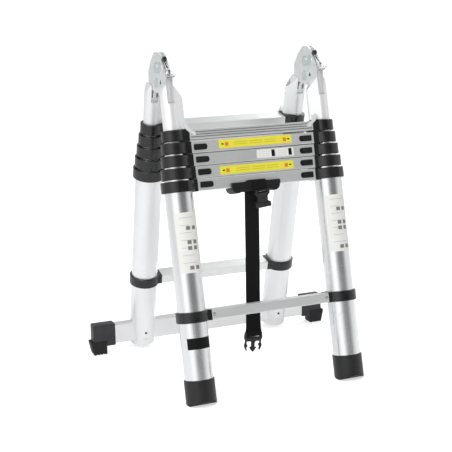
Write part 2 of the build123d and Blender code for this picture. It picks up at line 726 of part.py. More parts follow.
def lever(side):
    """Rocker in the slot between the cheeks: knob and lock tooth above its pin, thumb wing below."""
    wedge = [
        lever_point(LEVER_PIN_T - 10, 2.6),
        lever_point(LEVER_PIN_T, LEVER_CLEARANCE),
        lever_point(59, 4),
        lever_point(67, 4),
        lever_point(70, 9),
        lever_point(71, 17),
        lever_point(68, 18.5),
        lever_point(62, 12),
        lever_point(55, 9.6),
        lever_point(LEVER_PIN_T - 10, 5.2),
    ]
    arm = [
        lever_point(KNOB_T, 0.8),
        lever_point(LEVER_PIN_T + 2, 0.8),
        lever_point(LEVER_PIN_T + 2, 5),
        lever_point(KNOB_T, 5),
    ]
    web = [
        lever_point(LEVER_PIN_T - 4, 2),
        lever_point(LEVER_PIN_T - 4, -LEVER_PIN_DEPTH),
        lever_point(LEVER_PIN_T + 4, -LEVER_PIN_DEPTH),
        lever_point(LEVER_PIN_T + 4, 3),
    ]
    pin_y, pin_z = lever_point(LEVER_PIN_T, -LEVER_PIN_DEPTH)
    knob_y, knob_z = lever_point(KNOB_T, KNOB_OFFSET)
    bar = prism(wedge, -LEVER_HALF, LEVER_HALF)
    bar += prism(arm, -LEVER_ARM_HALF, LEVER_ARM_HALF)
    bar += prism(web, -LEVER_WEB_HALF, LEVER_WEB_HALF)
    bar += crosswise(KNOB_RADIUS, -LEVER_ARM_HALF, LEVER_ARM_HALF, knob_y, knob_z)
    bar += crosswise(LEVER_BOSS_RADIUS, -LEVER_WEB_HALF, LEVER_WEB_HALF, pin_y, pin_z)
    bar += crosswise(LEVER_PIN_RADIUS, -LEVER_HALF, LEVER_HALF, pin_y, pin_z)
    tooth_start = DISC_RADIUS + TOOTH_GAP
    bar += radial_block(tooth_start, tooth_start + TOOTH_LENGTH, TOOTH_WIDTH, TOOTH_HALF, tooth_angle())
    return from_pivot(bar, side)


# ---------------------------------------------------------------- carry handle and strap


def carry_handle():
    """Moulded handle hooked over the lower front edge of the stage 1 rung, curled at both ends."""
    face = RUNG_DEPTH / 2
    under = rung_middle(1) - RUNG_HEIGHT / 2 - 0.2
    low = under - HANDLE_DROP
    front = -face - HANDLE_LIP
    body = block(HANDLE_LEFT, HANDLE_RIGHT, -HANDLE_BACK, front, low, under)
    body = fillet(body.edges().filter_by(Axis.X), 3)
    body += block(HANDLE_LEFT, HANDLE_RIGHT, -face - 0.2, front, low + 5, HANDLE_LIP_TOP)
    for x in (HANDLE_LEFT + CURL_RADIUS, HANDLE_RIGHT - CURL_RADIUS):
        curl = Pos(x, -CURL_BACK, low + 3.5) * Rot(90, 0, 0)
        body += curl * Cylinder(CURL_RADIUS, face + HANDLE_LIP - CURL_BACK, align=BASE)
    return on_leg(body, FRONT)


def strap_webbing():
    half = STRAP_WIDTH / 2
    thick = STRAP_THICKNESS / 2
    return block(STRAP_X - half, STRAP_X + half, STRAP_Y - thick, STRAP_Y + thick, STRAP_BOTTOM, STRAP_TOP)


def buckle_prong():
    """Male half of a side-release buckle: a slotted bar, a middle guide and two spring arms."""
    half = BUCKLE_WIDTH / 2
    thick = BUCKLE_THICKNESS / 2
    top = STRAP_BOTTOM - 0.4
    shoulder = top - BUCKLE_BODY
    body = block(STRAP_X - half, STRAP_X + half, STRAP_Y - thick, STRAP_Y + thick, shoulder, top)
    body = fillet(body.edges().filter_by(Axis.Y), 3)
    slot_half = STRAP_WIDTH / 2 + 0.5
    slot_low, slot_high = (top - depth for depth in BUCKLE_SLOT)
    body -= block(
        STRAP_X - slot_half, STRAP_X + slot_half, STRAP_Y - thick, STRAP_Y + thick, slot_low, slot_high
    )
    body += block(STRAP_X - 4, STRAP_X + 4, STRAP_Y - 3, STRAP_Y + 3, BUCKLE_BOTTOM, shoulder + 1)
    for side in SIDES:
        outer = STRAP_X + side * (half - 1)
        inner = outer - side * PRONG_WIDTH
        body += block(outer, inner, STRAP_Y - 3.5, STRAP_Y + 3.5, BUCKLE_BOTTOM + 5, shoulder + 1)
    return body


def buckle_socket():
    """Female half of the buckle: waisted, open below and at both sides."""
    front, back = SOCKET_Y - SOCKET_DEPTH / 2, SOCKET_Y + SOCKET_DEPTH / 2
    lip_top = SOCKET_BOTTOM + 11
    waist_top = SOCKET_TOP - 13
    outline = [
        (SOCKET_HALF, SOCKET_BOTTOM),
        (SOCKET_HALF, lip_top - 4),
        (SOCKET_WAIST_HALF, lip_top),
        (SOCKET_WAIST_HALF, waist_top),
        (SOCKET_HALF - 2, waist_top + 4),
        (SOCKET_HALF - 2, SOCKET_TOP),
    ]
    outline += [(-reach, z) for reach, z in reversed(outline)]
    points = [(SOCKET_X + reach, z) for reach, z in outline]
    face = Pos(0, back, 0) * (Plane.XZ * make_face(Polyline(*points, close=True)))
    body = extrude(face, amount=SOCKET_DEPTH, dir=(0, -1, 0))
    mouth = SOCKET_HALF - SOCKET_WALL
    inner_front, inner_back = front + SOCKET_WALL, back - SOCKET_WALL
    throat_top = waist_top - SOCKET_WALL
    body -= block(
        SOCKET_X - mouth, SOCKET_X + mouth, inner_front, inner_back, SOCKET_BOTTOM, throat_top
    )
    slot_half = STRAP_WIDTH / 2 - 2
    body -= block(SOCKET_X - slot_half, SOCKET_X + slot_half, front, back, SOCKET_TOP - 8, SOCKET_TOP - 4)
    return body


# ---------------------------------------------------------------- the whole ladder


def leg_nodes(name, out):
    """Tubes, guides, rungs and latches of one leg, by node name."""
    nodes = {}
    for stage in range(1, STAGES + 1):
        nodes[f"{name}_tube_{stage}"] = tube_pair(stage, out)
        nodes[f"{name}_guides_{stage}"] = guide_set(stage, out)
        if stage > 1:
            nodes[f"{name}_rung_{stage}"] = [stage_rung(stage, out)]
        if stage < STAGES:
            nodes[f"{name}_latch_left_{stage}"] = [latch(stage, LEFT, out)]
            nodes[f"{name}_latch_right_{stage}"] = [latch(stage, RIGHT, out)]
    nodes[f"{name}_base_rungs"] = base_rungs(out)
    nodes[f"{name}_hinge_stays"] = [hinge_stay(side, out) for side in SIDES]
    return nodes


def ladder():
    nodes = leg_nodes("front", FRONT) | leg_nodes("rear", REAR)
    nodes["front_feet"] = [foot(side) for side in SIDES]
    nodes["stabiliser_bar"] = [stabiliser_bar()]
    nodes["stabiliser_caps"] = [stabiliser_cap(side) for side in SIDES]
    nodes["front_hinge_cheeks"] = front_hinge_pieces()
    nodes["rear_hinge_leaves"] = rear_hinge_pieces()
    nodes["hinge_pivots"] = [pivot_pin(side) for side in SIDES]
    nodes["hinge_lever_left"] = [lever(LEFT)]
    nodes["hinge_lever_right"] = [lever(RIGHT)]
    nodes["carry_handle"] = [carry_handle()]
    nodes["strap_webbing"] = [strap_webbing()]
    nodes["strap_buckle_prong"] = [buckle_prong()]
    nodes["strap_buckle_socket"] = [buckle_socket()]
    return nodes


os.makedirs("parts", exist_ok=True)
for node_name, pieces in ladder().items():
    solids = [solid for piece in pieces for solid in piece.solids()]
    export_step(Compound(children=solids), f"parts/{node_name}.step")
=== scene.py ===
import json
from math import atan2, cos, hypot, pi, radians, sin

import bmesh
import bpy
from mathutils import Matrix, Vector


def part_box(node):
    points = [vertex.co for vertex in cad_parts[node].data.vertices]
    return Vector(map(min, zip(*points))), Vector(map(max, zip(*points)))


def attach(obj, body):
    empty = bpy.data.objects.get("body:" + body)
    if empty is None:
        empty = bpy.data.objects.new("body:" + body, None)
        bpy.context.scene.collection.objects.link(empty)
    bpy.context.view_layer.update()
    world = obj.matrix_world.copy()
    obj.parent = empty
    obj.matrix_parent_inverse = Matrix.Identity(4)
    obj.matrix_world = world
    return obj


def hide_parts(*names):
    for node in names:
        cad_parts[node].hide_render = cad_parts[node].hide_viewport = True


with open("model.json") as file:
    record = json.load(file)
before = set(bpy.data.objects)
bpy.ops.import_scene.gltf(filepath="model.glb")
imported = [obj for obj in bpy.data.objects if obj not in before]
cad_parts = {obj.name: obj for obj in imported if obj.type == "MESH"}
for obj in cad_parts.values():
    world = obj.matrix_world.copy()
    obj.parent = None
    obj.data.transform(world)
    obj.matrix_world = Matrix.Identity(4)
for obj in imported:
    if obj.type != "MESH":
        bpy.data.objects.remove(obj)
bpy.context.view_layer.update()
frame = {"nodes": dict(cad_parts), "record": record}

# ---------------------------------------------------------------- the ladder's own measures

MM = 0.001
FRONT, REAR = -1, 1
LEFT, RIGHT = -1, 1
SIDES = (LEFT, RIGHT)
SIDE_NAMES = {LEFT: "left", RIGHT: "right"}
LEG_NAMES = {FRONT: "front", REAR: "rear"}

JOINT_AXES = {joint["name"]: joint["axis"] for joint in frame["record"]["behaviour"]["joints"]}
SOLES = {mount["name"]: mount["pos_m"] for mount in frame["record"]["mounts"]}
PIVOT_LOW, PIVOT_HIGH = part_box("hinge_pivots")
UP_LEG = JOINT_AXES["front_slide_2"]
LEAN = atan2(UP_LEG[1], UP_LEG[2])  # each leg's lean
STILE_X = SOLES["front_sole_right"][0] / MM  # millimetres from here on
FOOT_SPREAD = -SOLES["front_sole_right"][1] / MM
PIVOT_Z = (PIVOT_LOW[2] + PIVOT_HIGH[2]) / 2 / MM
REAR_RISE = 4.0  # the rear stack is carried higher by the stabiliser
RUNG_FACE = 20.5  # from the stile axis to a rung's outer face
RUNG_MIDDLE = 522.0  # stage 1 rung, up the leg
RUNG_PITCH = 30.5
RUNG_HALF_LENGTH = 158.5  # stage 1
RUNG_HALF_STEP = 1.9
TUBE_RADIUS = 34.75  # stage 1
SLOPE_TOP = (-27.0, 31.5)  # ends of the hinge cheeks' front edge, from the pivot
SLOPE_END = (-66.0, -13.0)

# ---------------------------------------------------------------- materials


class Graph:
    """A material's node tree, with short calls to add and join nodes."""

    def __init__(self, name):
        self.material = bpy.data.materials.new(name)
        self.material.use_nodes = True
        self.tree = self.material.node_tree
        self.bsdf = self.tree.nodes["Principled BSDF"]

    def node(self, kind, inputs=None, **settings):
        made = self.tree.nodes.new(kind)
        for key, value in settings.items():
            setattr(made, key, value)
        for key, value in (inputs or {}).items():
            self.put(value, made.inputs[key])
        return made

    def put(self, value, socket):
        if isinstance(value, bpy.types.NodeSocket):
            self.tree.links.new(value, socket)
        elif isinstance(value, bpy.types.Node):
            self.tree.links.new(value.outputs[0], socket)
        else:
            socket.default_value = value

    def set(self, **inputs):
        for key, value in inputs.items():
            self.put(value, self.bsdf.inputs[key.replace("_", " ")])

    def place(self, scale=(1, 1, 1), rotation=(0, 0, 0)):
        """Object coordinates in metres, turned and then scaled."""
        coords = self.node("ShaderNodeTexCoord").outputs["Object"]
        turned = self.node("ShaderNodeMapping", {"Vector": coords, "Rotation": rotation})
        return self.node("ShaderNodeMapping", {"Vector": turned, "Scale": scale}).outputs[0]

    def noise(self, vector, scale, detail=4.0, roughness=0.55):
        values = {"Vector": vector, "Scale": scale, "Detail": detail, "Roughness": roughness}
        return self.node("ShaderNodeTexNoise", values).outputs["Fac"]

    def band(self, value, low, high, from_low=0.3, from_high=0.7):
        """Value from one range mapped to another."""
        values = {"Value": value, "From Min": from_low, "From Max": from_high, "To Min": low, "To Max": high}
        return self.node("ShaderNodeMapRange", values).outputs[0]

    def math(self, operation, a, b=0.0):
        return self.node("ShaderNodeMath", {0: a, 1: b}, operation=operation).outputs[0]

    def mix(self, factor, a, b):
        made = self.node("ShaderNodeMix", data_type="RGBA")
        self.put(factor, made.inputs["Factor"])
        self.put(a, made.inputs["A"])
        self.put(b, made.inputs["B"])
        return made.outputs["Result"]

    def bump(self, height, strength, distance, normal=None):
        values = {"Height": height, "Strength": strength, "Distance": distance}
        if normal is not None:
            values["Normal"] = normal
        return self.node("ShaderNodeBump", values).outputs[0]

    def soft_edges(self, radius):
        return self.node("ShaderNodeBevel", {"Radius": radius}, samples=4).outputs[0]


def rgb(r, g, b):
    return (r, g, b, 1.0)


def drawn_aluminium(name, color, roughness, direction, edge=0.0006, metallic=1.0):
    """Satin aluminium with fine draw lines along one direction, faint handling marks and dulling."""
    g = Graph(name)
    rotation, stretch = direction
    lines = g.noise(g.place(stretch, rotation), 1.0, 3.0, 0.6)
    cloud = g.noise(g.place((9, 9, 9)), 1.0, 3.0)
    speck = g.noise(g.place((420, 420, 420)), 1.0, 2.0)
    tone = g.mix(g.band(lines, 0.0, 1.0), rgb(*(0.97 * c for c in color)), rgb(*color))
    tone = g.mix(g.band(cloud, 0.0, 0.3), tone, rgb(*(0.90 * c for c in color)))
    rough = g.math("ADD", g.band(lines, -0.02, 0.02), g.band(cloud, roughness - 0.03, roughness + 0.04))
    height = g.math("ADD", lines, g.math("MULTIPLY", speck, 0.3))
    normal = g.bump(height, 0.05, 0.0002, g.soft_edges(edge))
    g.set(Base_Color=tone, Metallic=metallic, Roughness=rough, Normal=normal)
    return g.material


ALONG_X = ((0, 0, 0), (6, 900, 900))  # rotation and stretch of the draw lines


def along_leg(out):
    """Draw lines that run up a leg."""
    return ((-out * LEAN, 0, 0), (700, 700, 5))


def moulded_plastic(name, color, roughness, grain=900.0, edge=0.0009, spec=0.5):
    """Black moulded plastic: fine spark-eroded grain, slightly uneven gloss, paler rubbed edges."""
    g = Graph(name)
    fine = g.noise(g.place((grain, grain, grain)), 1.0, 2.0)
    cloud = g.noise(g.place((26, 26, 26)), 1.0, 4.0)
    scuff = g.noise(g.place((140, 140, 30)), 1.0, 5.0, 0.7)
    worn = g.band(scuff, 0.0, 1.0, 0.62, 0.74)
    tone = g.mix(g.band(cloud, 0.0, 1.0), rgb(*color), rgb(*(1.35 * c + 0.003 for c in color)))
    tone = g.mix(g.math("MULTIPLY", worn, 0.35), tone, rgb(*(2.2 * c + 0.02 for c in color)))
    rough = g.math("ADD", g.band(cloud, roughness - 0.05, roughness + 0.06), g.math("MULTIPLY", worn, 0.1))
    g.set(Base_Color=tone, Roughness=rough, Normal=g.bump(fine, 0.22, 0.0003, g.soft_edges(edge)))
    g.bsdf.inputs["Specular IOR Level"].default_value = spec
    return g.material


def zinc(name, color, roughness):
    """Zinc-plated pressed steel with a faint spangle and a blue cast."""
    g = Graph(name)
    spangle = g.node("ShaderNodeTexVoronoi", {"Vector": g.place((150, 150, 150)), "Scale": 1.0})
    cloud = g.noise(g.place((60, 60, 60)), 1.0, 4.0)
    tone = g.mix(g.band(cloud, 0.0, 1.0), rgb(*(0.88 * c for c in color)), rgb(*color))
    flake = g.band(spangle.outputs["Distance"], -0.02, 0.03, 0.0, 0.8)
    rough = g.math("ADD", flake, g.band(cloud, roughness - 0.03, roughness + 0.05))
    normal = g.bump(cloud, 0.03, 0.0004, g.soft_edges(0.0009))
    g.set(Base_Color=tone, Metallic=1.0, Roughness=rough, Normal=normal)
    return g.material


FRONT_TUBE = drawn_aluminium("front_tube_satin", (0.88, 0.89, 0.90), 0.25, along_leg(FRONT))
TOP_TUBE = drawn_aluminium("top_tube_satin", (0.95, 0.95, 0.96), 0.40, along_leg(FRONT), metallic=0.5)
REAR_TOP_TUBE = drawn_aluminium(
    "rear_top_tube_satin", (0.90, 0.91, 0.92), 0.45, along_leg(REAR), metallic=0.65
)
REAR_TUBE = drawn_aluminium("rear_tube_satin", (0.93, 0.94, 0.95), 0.42, along_leg(REAR), metallic=0.85)
RUNG_METAL = drawn_aluminium("rung_extrusion", (0.90, 0.92, 0.91), 0.38, ALONG_X, metallic=0.82)
BAR_METAL = drawn_aluminium("bar_extrusion", (0.90, 0.90, 0.91), 0.36, ALONG_X)
FRONT_STAY = drawn_aluminium("front_stay_strip", (0.90, 0.92, 0.92), 0.45, along_leg(FRONT), metallic=0.4)
REAR_STAY = drawn_aluminium("rear_stay_strip", (0.90, 0.92, 0.92), 0.6, along_leg(REAR), metallic=0.15)
COLLAR = moulded_plastic("collar_plastic", (0.004, 0.004, 0.005), 0.26, spec=0.62)
LATCH = moulded_plastic("latch_plastic", (0.006, 0.008, 0.008), 0.42, spec=0.4)
FOOT = moulded_plastic("foot_rubber", (0.007, 0.007, 0.008), 0.38, grain=600.0, edge=0.0015, spec=0.45)
CAP = moulded_plastic("cap_plastic", (0.028, 0.028, 0.032), 0.50, edge=0.0015, spec=0.4)
CAP_FOOT_LOOK = moulded_plastic("cap_foot_rubber", (0.010, 0.010, 0.011), 0.55, edge=0.0012, spec=0.3)
HANDLE = moulded_plastic("handle_plastic", (0.007, 0.007, 0.008), 0.42, edge=0.0015, spec=0.3)
HINGE = zinc("hinge_zinc", (0.90, 0.945, 0.94), 0.34)
LEAF = zinc("leaf_zinc", (0.90, 0.93, 0.93), 0.55)
PIVOT = zinc("pivot_zinc", (0.74, 0.80, 0.80), 0.30)

NODE_LOOKS = {
    "front_tube_5": TOP_TUBE,
    "rear_tube_5": REAR_TOP_TUBE,
    "front_tube": FRONT_TUBE,
    "rear_tube": REAR_TUBE,
    "front_rung": RUNG_METAL,
    "rear_rung": RUNG_METAL,
    "front_base_rungs": RUNG_METAL,
    "rear_base_rungs": RUNG_METAL,
    "front_guides": COLLAR,
    "rear_guides": COLLAR,
    "front_latch": LATCH,
    "rear_latch": LATCH,
    "front_feet": FOOT,
    "stabiliser_bar": BAR_METAL,
    "stabiliser_caps": CAP,
    "front_hinge_cheeks": HINGE,
    "rear_hinge_leaves": LEAF,
    "front_hinge_stays": FRONT_STAY,
    "rear_hinge_stays": REAR_STAY,
    "hinge_pivots": PIVOT,
    "hinge_lever": HINGE,
    "carry_handle": HANDLE,
    "strap": HANDLE,
}

for node_name, node in frame["nodes"].items():
    look = next(m for prefix, m in NODE_LOOKS.items() if node_name.startswith(prefix))
    node.data.materials.clear()
    node.data.materials.append(look)

# ---------------------------------------------------------------- meshes, in millimetres


def leg_frame(out, rise=0.0):
    """A leg's own frame: z up the leg from the floor, y = out * distance outside the stile axis."""
    place = Matrix.Translation((0, out * FOOT_SPREAD * MM, 0)) @ Matrix.Rotation(out * LEAN, 4, "X")
    return place @ Matrix.Scale(MM, 4) @ Matrix.Translation((0, 0, rise))


def pivot_frame(side):
    """World directions, measured from a hinge pivot."""
    return Matrix.Translation((side * STILE_X * MM, 0, PIVOT_Z * MM)) @ Matrix.Scale(MM, 4)


WORLD = Matrix.Scale(MM, 4)
FACING_FRONT = Matrix.Rotation(pi / 2, 4, "X")  # a plate's x-y outline stands up as x-z, facing -y
FACING_SIDE = Matrix.Rotation(pi / 2, 4, "Z") @ Matrix.Rotation(pi / 2, 4, "X")  # x-y becomes y-z
LYING_X = Matrix.Rotation(pi / 2, 4, "Y")  # lays a z-axis part along x


def at(x, y, z):
    """A matrix that only shifts."""
    return Matrix.Translation((x, y, z))


# The record's material slot for each family of pieces. Labels have none, as the record has no label finish.
SLOTS = {
    "lever": "lever_steel",
    "hinge": "hinge_steel",
    "slot_channel": "tube_aluminium",
    "slot_backing": "tube_aluminium",
    "front_groove_shade": "rung_aluminium",
    "rear_groove_shade": "rung_aluminium",
    "front_latch": "latch_plastic",
    "rear_latch": "latch_plastic",
    "carry_grip": "handle_plastic",
    "socket_loop": "strap_webbing",
    "strap": "strap_webbing",
    "prong_clip": "buckle_plastic",
    "socket_clip": "buckle_plastic",
    "cap": "cap_plastic",
    "rivet": "pivot_steel",
    "screw": "pivot_steel",
    "bar_bolt": "pivot_steel",
    "bar_ring": "pivot_steel",
}


def piece(name, meshes, frame_matrix, look, body):
    """One visible piece from a list of meshes, placed by a matrix, moving with a CAD body."""
    joined = bmesh.new()
    for mesh in meshes:
        joined.from_mesh(mesh)
        bpy.data.meshes.remove(mesh)
    joined.transform(frame_matrix)
    bmesh.ops.recalc_face_normals(joined, faces=joined.faces)
    data = bpy.data.meshes.new(name)
    joined.to_mesh(data)
    joined.free()
    data.materials.append(look)
    made = bpy.data.objects.new(name, data)
    bpy.context.scene.collection.objects.link(made)
    smooth_by_angle(made)
    for prefix, slot in SLOTS.items():
        if name.startswith(prefix):
            break
    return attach(made, body)


def smooth_by_angle(made, limit=radians(32)):
    """Smooth shading with sharp edges kept where faces meet at more than the limit."""
    edges = bmesh.new()
    edges.from_mesh(made.data)
    for face in edges.faces:
        face.smooth = True
    for edge in edges.edges:
        edge.smooth = edge.calc_face_angle(0.0) < limit
    edges.to_mesh(made.data)
    edges.free()


def moved(mesh, matrix):
    """The same mesh, moved by a matrix."""
    mesh.transform(matrix)
    return mesh


def rounded(points, radius, steps=4):
    """Outline with its corners rounded, by one radius or one per corner."""
    radii = radius if isinstance(radius, (list, tuple)) else [radius] * len(points)
    outline = []
    for index, corner in enumerate(points):
        here = Vector(corner)
        before = Vector(points[index - 1]) - here
        after = Vector(points[(index + 1) % len(points)]) - here
        reach = min(radii[index], before.length * 0.45, after.length * 0.45)
        start = here + before.normalized() * reach
        end = here + after.normalized() * reach
        for step in range(steps + 1):
            share = step / steps
            outline.append(start * (1 - share) ** 2 + here * 2 * share * (1 - share) + end * share**2)
    return outline


def plate(outlines, depth, bevel=0.0):
    """Flat plate with softened edges in x-y, centred on z = 0. Outlines after the first are holes."""
    curve = bpy.data.curves.new("plate", "CURVE")
    curve.dimensions = "2D"
    curve.fill_mode = "BOTH"
    curve.extrude = depth / 2 - bevel
    curve.bevel_depth = bevel
    curve.bevel_resolution = 2
    curve.offset = -bevel
    for outline in outlines:
        spline = curve.splines.new("POLY")
        spline.points.add(len(outline) - 1)
        for point, place in zip(spline.points, outline):
            point.co = (place[0], place[1], 0, 1)
        spline.use_cyclic_u = True
    holder = bpy.data.objects.new("plate", curve)
    mesh = bpy.data.meshes.new_from_object(holder)
    bpy.data.objects.remove(holder)
    bpy.data.curves.remove(curve)
    welded = bmesh.new()
    welded.from_mesh(mesh)
    bmesh.ops.remove_doubles(welded, verts=welded.verts, dist=0.001)
    welded.to_mesh(mesh)
    welded.free()
    mesh.materials.clear()
    return mesh


def lathe(profile, segments=32):
    """Solid of revolution about z, from (radius, z) pairs that start and end on the axis."""
    turned = bmesh.new()
    rings = []
    for radius, z in profile:
        count = segments if radius > 0 else 1
        angles = [2 * pi * number / count for number in range(count)]
        rings.append([turned.verts.new((radius * cos(a), radius * sin(a), z)) for a in angles])
    for low, high in zip(rings, rings[1:]):
        for number in range(segments):
            following = (number + 1) % segments
            corners = [low[number % len(low)], low[following % len(low)]]
            corners += [high[following % len(high)], high[number % len(high)]]
            unique = list(dict.fromkeys(corners))
            if len(unique) > 2:
                turned.faces.new(unique)
    mesh = bpy.data.meshes.new("lathe")
    turned.to_mesh(mesh)
    turned.free()
    return mesh


def sheet(surface, columns, rows):
    """Closed thin sheet. surface(u, v, side) gives a point, for u and v from 0 to 1 and side 0 or 1."""
    made = bmesh.new()
    grids = []
    for side in (0, 1):
        grid = [
            [made.verts.new(surface(column / columns, row / rows, side)) for column in range(columns + 1)]
            for row in range(rows + 1)
        ]
        grids.append(grid)
    for grid in grids:
        for row in range(rows):
            for column in range(columns):
                near, far = grid[row], grid[row + 1]
                made.faces.new((near[column], near[column + 1], far[column + 1], far[column]))
    rim = [(0, column) for column in range(columns)] + [(row, columns) for row in range(rows)]
    rim += [(rows, columns - column) for column in range(columns)] + [(rows - row, 0) for row in range(rows)]
    for (row, column), (next_row, next_column) in zip(rim, rim[1:] + rim[:1]):
        back, front = grids
        made.faces.new(
            (back[row][column], back[next_row][next_column], front[next_row][next_column], front[row][column])
        )
    mesh = bpy.data.meshes.new("sheet")
    made.to_mesh(mesh)
    made.free()
    return mesh


def block(x0, x1, y0, y1, z0, z1):
    """Box between two limits on each axis."""

    def corner(u, v, side):
        return (x0 + (x1 - x0) * u, y0 + (y1 - y0) * side, z0 + (z1 - z0) * v)

    return sheet(corner, 1, 1)


def along(path, share):
    """Point and normal at a share of the length of a path of (y, z) points."""
    lengths = [hypot(b[0] - a[0], b[1] - a[1]) for a, b in zip(path, path[1:])]
    left = share * sum(lengths)
    index = 0
    while index < len(lengths) - 1 and left > lengths[index]:
        left -= lengths[index]
        index += 1
    (y0, z0), (y1, z1) = path[index], path[index + 1]
    part = left / lengths[index]
    normal = (-(z1 - z0) / lengths[index], (y1 - y0) / lengths[index])
    return y0 + (y1 - y0) * part, z0 + (z1 - z0) * part, normal


def ribbon(path, half_widths, thickness, middle=0.0, crown=0.0, columns=6, rows=40):
    """Strip of sheet lying along a path in y-z, across x. Half widths are spread evenly along it."""

    def surface(u, v, side):
        y, z, normal = along(path, v)
        place = v * (len(half_widths) - 1)
        index = min(int(place), len(half_widths) - 2)
        half = half_widths[index] + (half_widths[index + 1] - half_widths[index]) * (place - index)
        across = 2 * u - 1
        lift = (side - 0.5) * thickness + crown * across**2
        return (middle + half * across, y + normal[0] * lift, z + normal[1] * lift)

    return sheet(surface, columns, rows)


def tube_label(stile, radius, angle_0, angle_1, low, high, out=FRONT):
    """Thin label wrapped on a tube. Angles are from the outward direction towards +x, in degrees."""

    def surface(u, v, side):
        angle = radians(angle_0 + (angle_1 - angle_0) * u)
        reach = radius + 0.05 + 0.2 * side
        return (stile + reach * sin(angle), out * reach * cos(angle), low + (high - low) * v)

    return sheet(surface, 12, 2)


def rivet(radius, height):
    """Domed rivet head standing on z = 0."""
    steps = 5
    turns = [pi / 2 * step / steps for step in range(steps)]
    dome = [(radius * cos(turn), height * (0.25 + 0.75 * sin(turn))) for turn in turns]
    return lathe([(0, 0), (radius, 0)] + dome + [(0, height)], 20)


# ---------------------------------------------------------------- labels, plain and without lettering


def label_look(name, color, roughness=0.35, spec=0.3):
    """Smooth printed film in one colour, very slightly cloudy."""
    g = Graph(name)
    cloud = g.noise(g.place((30, 30, 30)), 1.0, 3.0)
    fibre = g.noise(g.place((700, 700, 700)), 1.0, 2.0)
    tone = g.mix(g.band(cloud, 0.0, 1.0), rgb(*(0.95 * c for c in color)), rgb(*color))
    rough = g.band(cloud, roughness, roughness + 0.1)
    g.set(Base_Color=tone, Roughness=rough, Normal=g.bump(fibre, 0.05, 0.0001))
    g.bsdf.inputs["Specular IOR Level"].default_value = spec
    return g.material


YELLOW = label_look("label_yellow", (0.86, 0.78, 0.06))
AMBER = label_look("label_amber", (0.70, 0.25, 0.05))
OCHRE = label_look("label_ochre", (0.52, 0.42, 0.05))
PAPER = label_look("label_white", (0.87, 0.87, 0.83))
INK = label_look("label_black", (0.005, 0.005, 0.005), 0.5, 0.15)
PALE_PRINT = label_look("label_grey", (0.55, 0.56, 0.58))
GREY_PRINT = label_look("label_mid_grey", (0.24, 0.23, 0.22))
PRINT_LIFT = 0.2  # printed blocks and bars stand this far off their label


def rung_patch(name, stage, x0, x1, low, high, look, lift=0.0):
    """Flat label on the front of a rung. low and high are from the rung's middle."""
    middle = RUNG_MIDDLE + RUNG_PITCH * (stage - 1)
    face = RUNG_FACE + lift
    made = block(x0, x1, -(face + 0.05), -(face + 0.25), middle + low, middle + high)
    body = "front_base" if stage == 1 else f"front_stage_{stage}"
    return piece(name, [made], leg_frame(FRONT), look, body)


def yellow_band(stage, x0, x1, low, high):
    """Yellow sticker with an amber block and a black dot at each end and two rows of bars between."""
    name = f"label_band_{stage}"
    rung_patch(name, stage, x0, x1, low, high, YELLOW)
    middle = (low + high) / 2
    for side, end in ((LEFT, x0), (RIGHT, x1)):
        mark = end - side * 20
        tag = f"{name}_mark_{SIDE_NAMES[side]}"
        rung_patch(tag, stage, mark - 4.5, mark + 4.5, middle - 5, middle + 4, AMBER, PRINT_LIFT)
        dot = end - side * 9.5
        tag = f"{name}_dot_{SIDE_NAMES[side]}"
        rung_patch(tag, stage, dot - 2.5, dot + 2.5, middle - 1.5, middle + 2, INK, PRINT_LIFT)
    for number, height in enumerate((-2.6, 2.6)):
        for part, (from_x, to_x) in enumerate(((-55, -18), (-12, 22), (28, 58))):
            strip = f"{name}_rule_{number}{part}"
            low_edge, high_edge = middle + height - 0.5, middle + height + 0.5
            rung_patch(strip, stage, from_x, to_x, low_edge, high_edge, OCHRE, PRINT_LIFT)


def white_pair(stage, low, high):
    """Two white stickers side by side, each with a black block and three grey bars."""
    for number, (x0, x1, mark) in enumerate(((4.0, 53.5, 47.5), (55.0, 104.5, 94.0))):
        name = f"label_pair_{number}"
        rung_patch(name, stage, x0, x1, low, high, PAPER)
        rung_patch(f"{name}_block", stage, mark - 4, mark + 5, low + 2, high - 2, INK, PRINT_LIFT)
        for row in range(3):
            height = low + 5 + row * 5
            tag = f"{name}_rule_{row}"
            rung_patch(tag, stage, x0 + 5, mark - 9, height - 0.4, height + 0.4, PALE_PRINT, PRINT_LIFT)


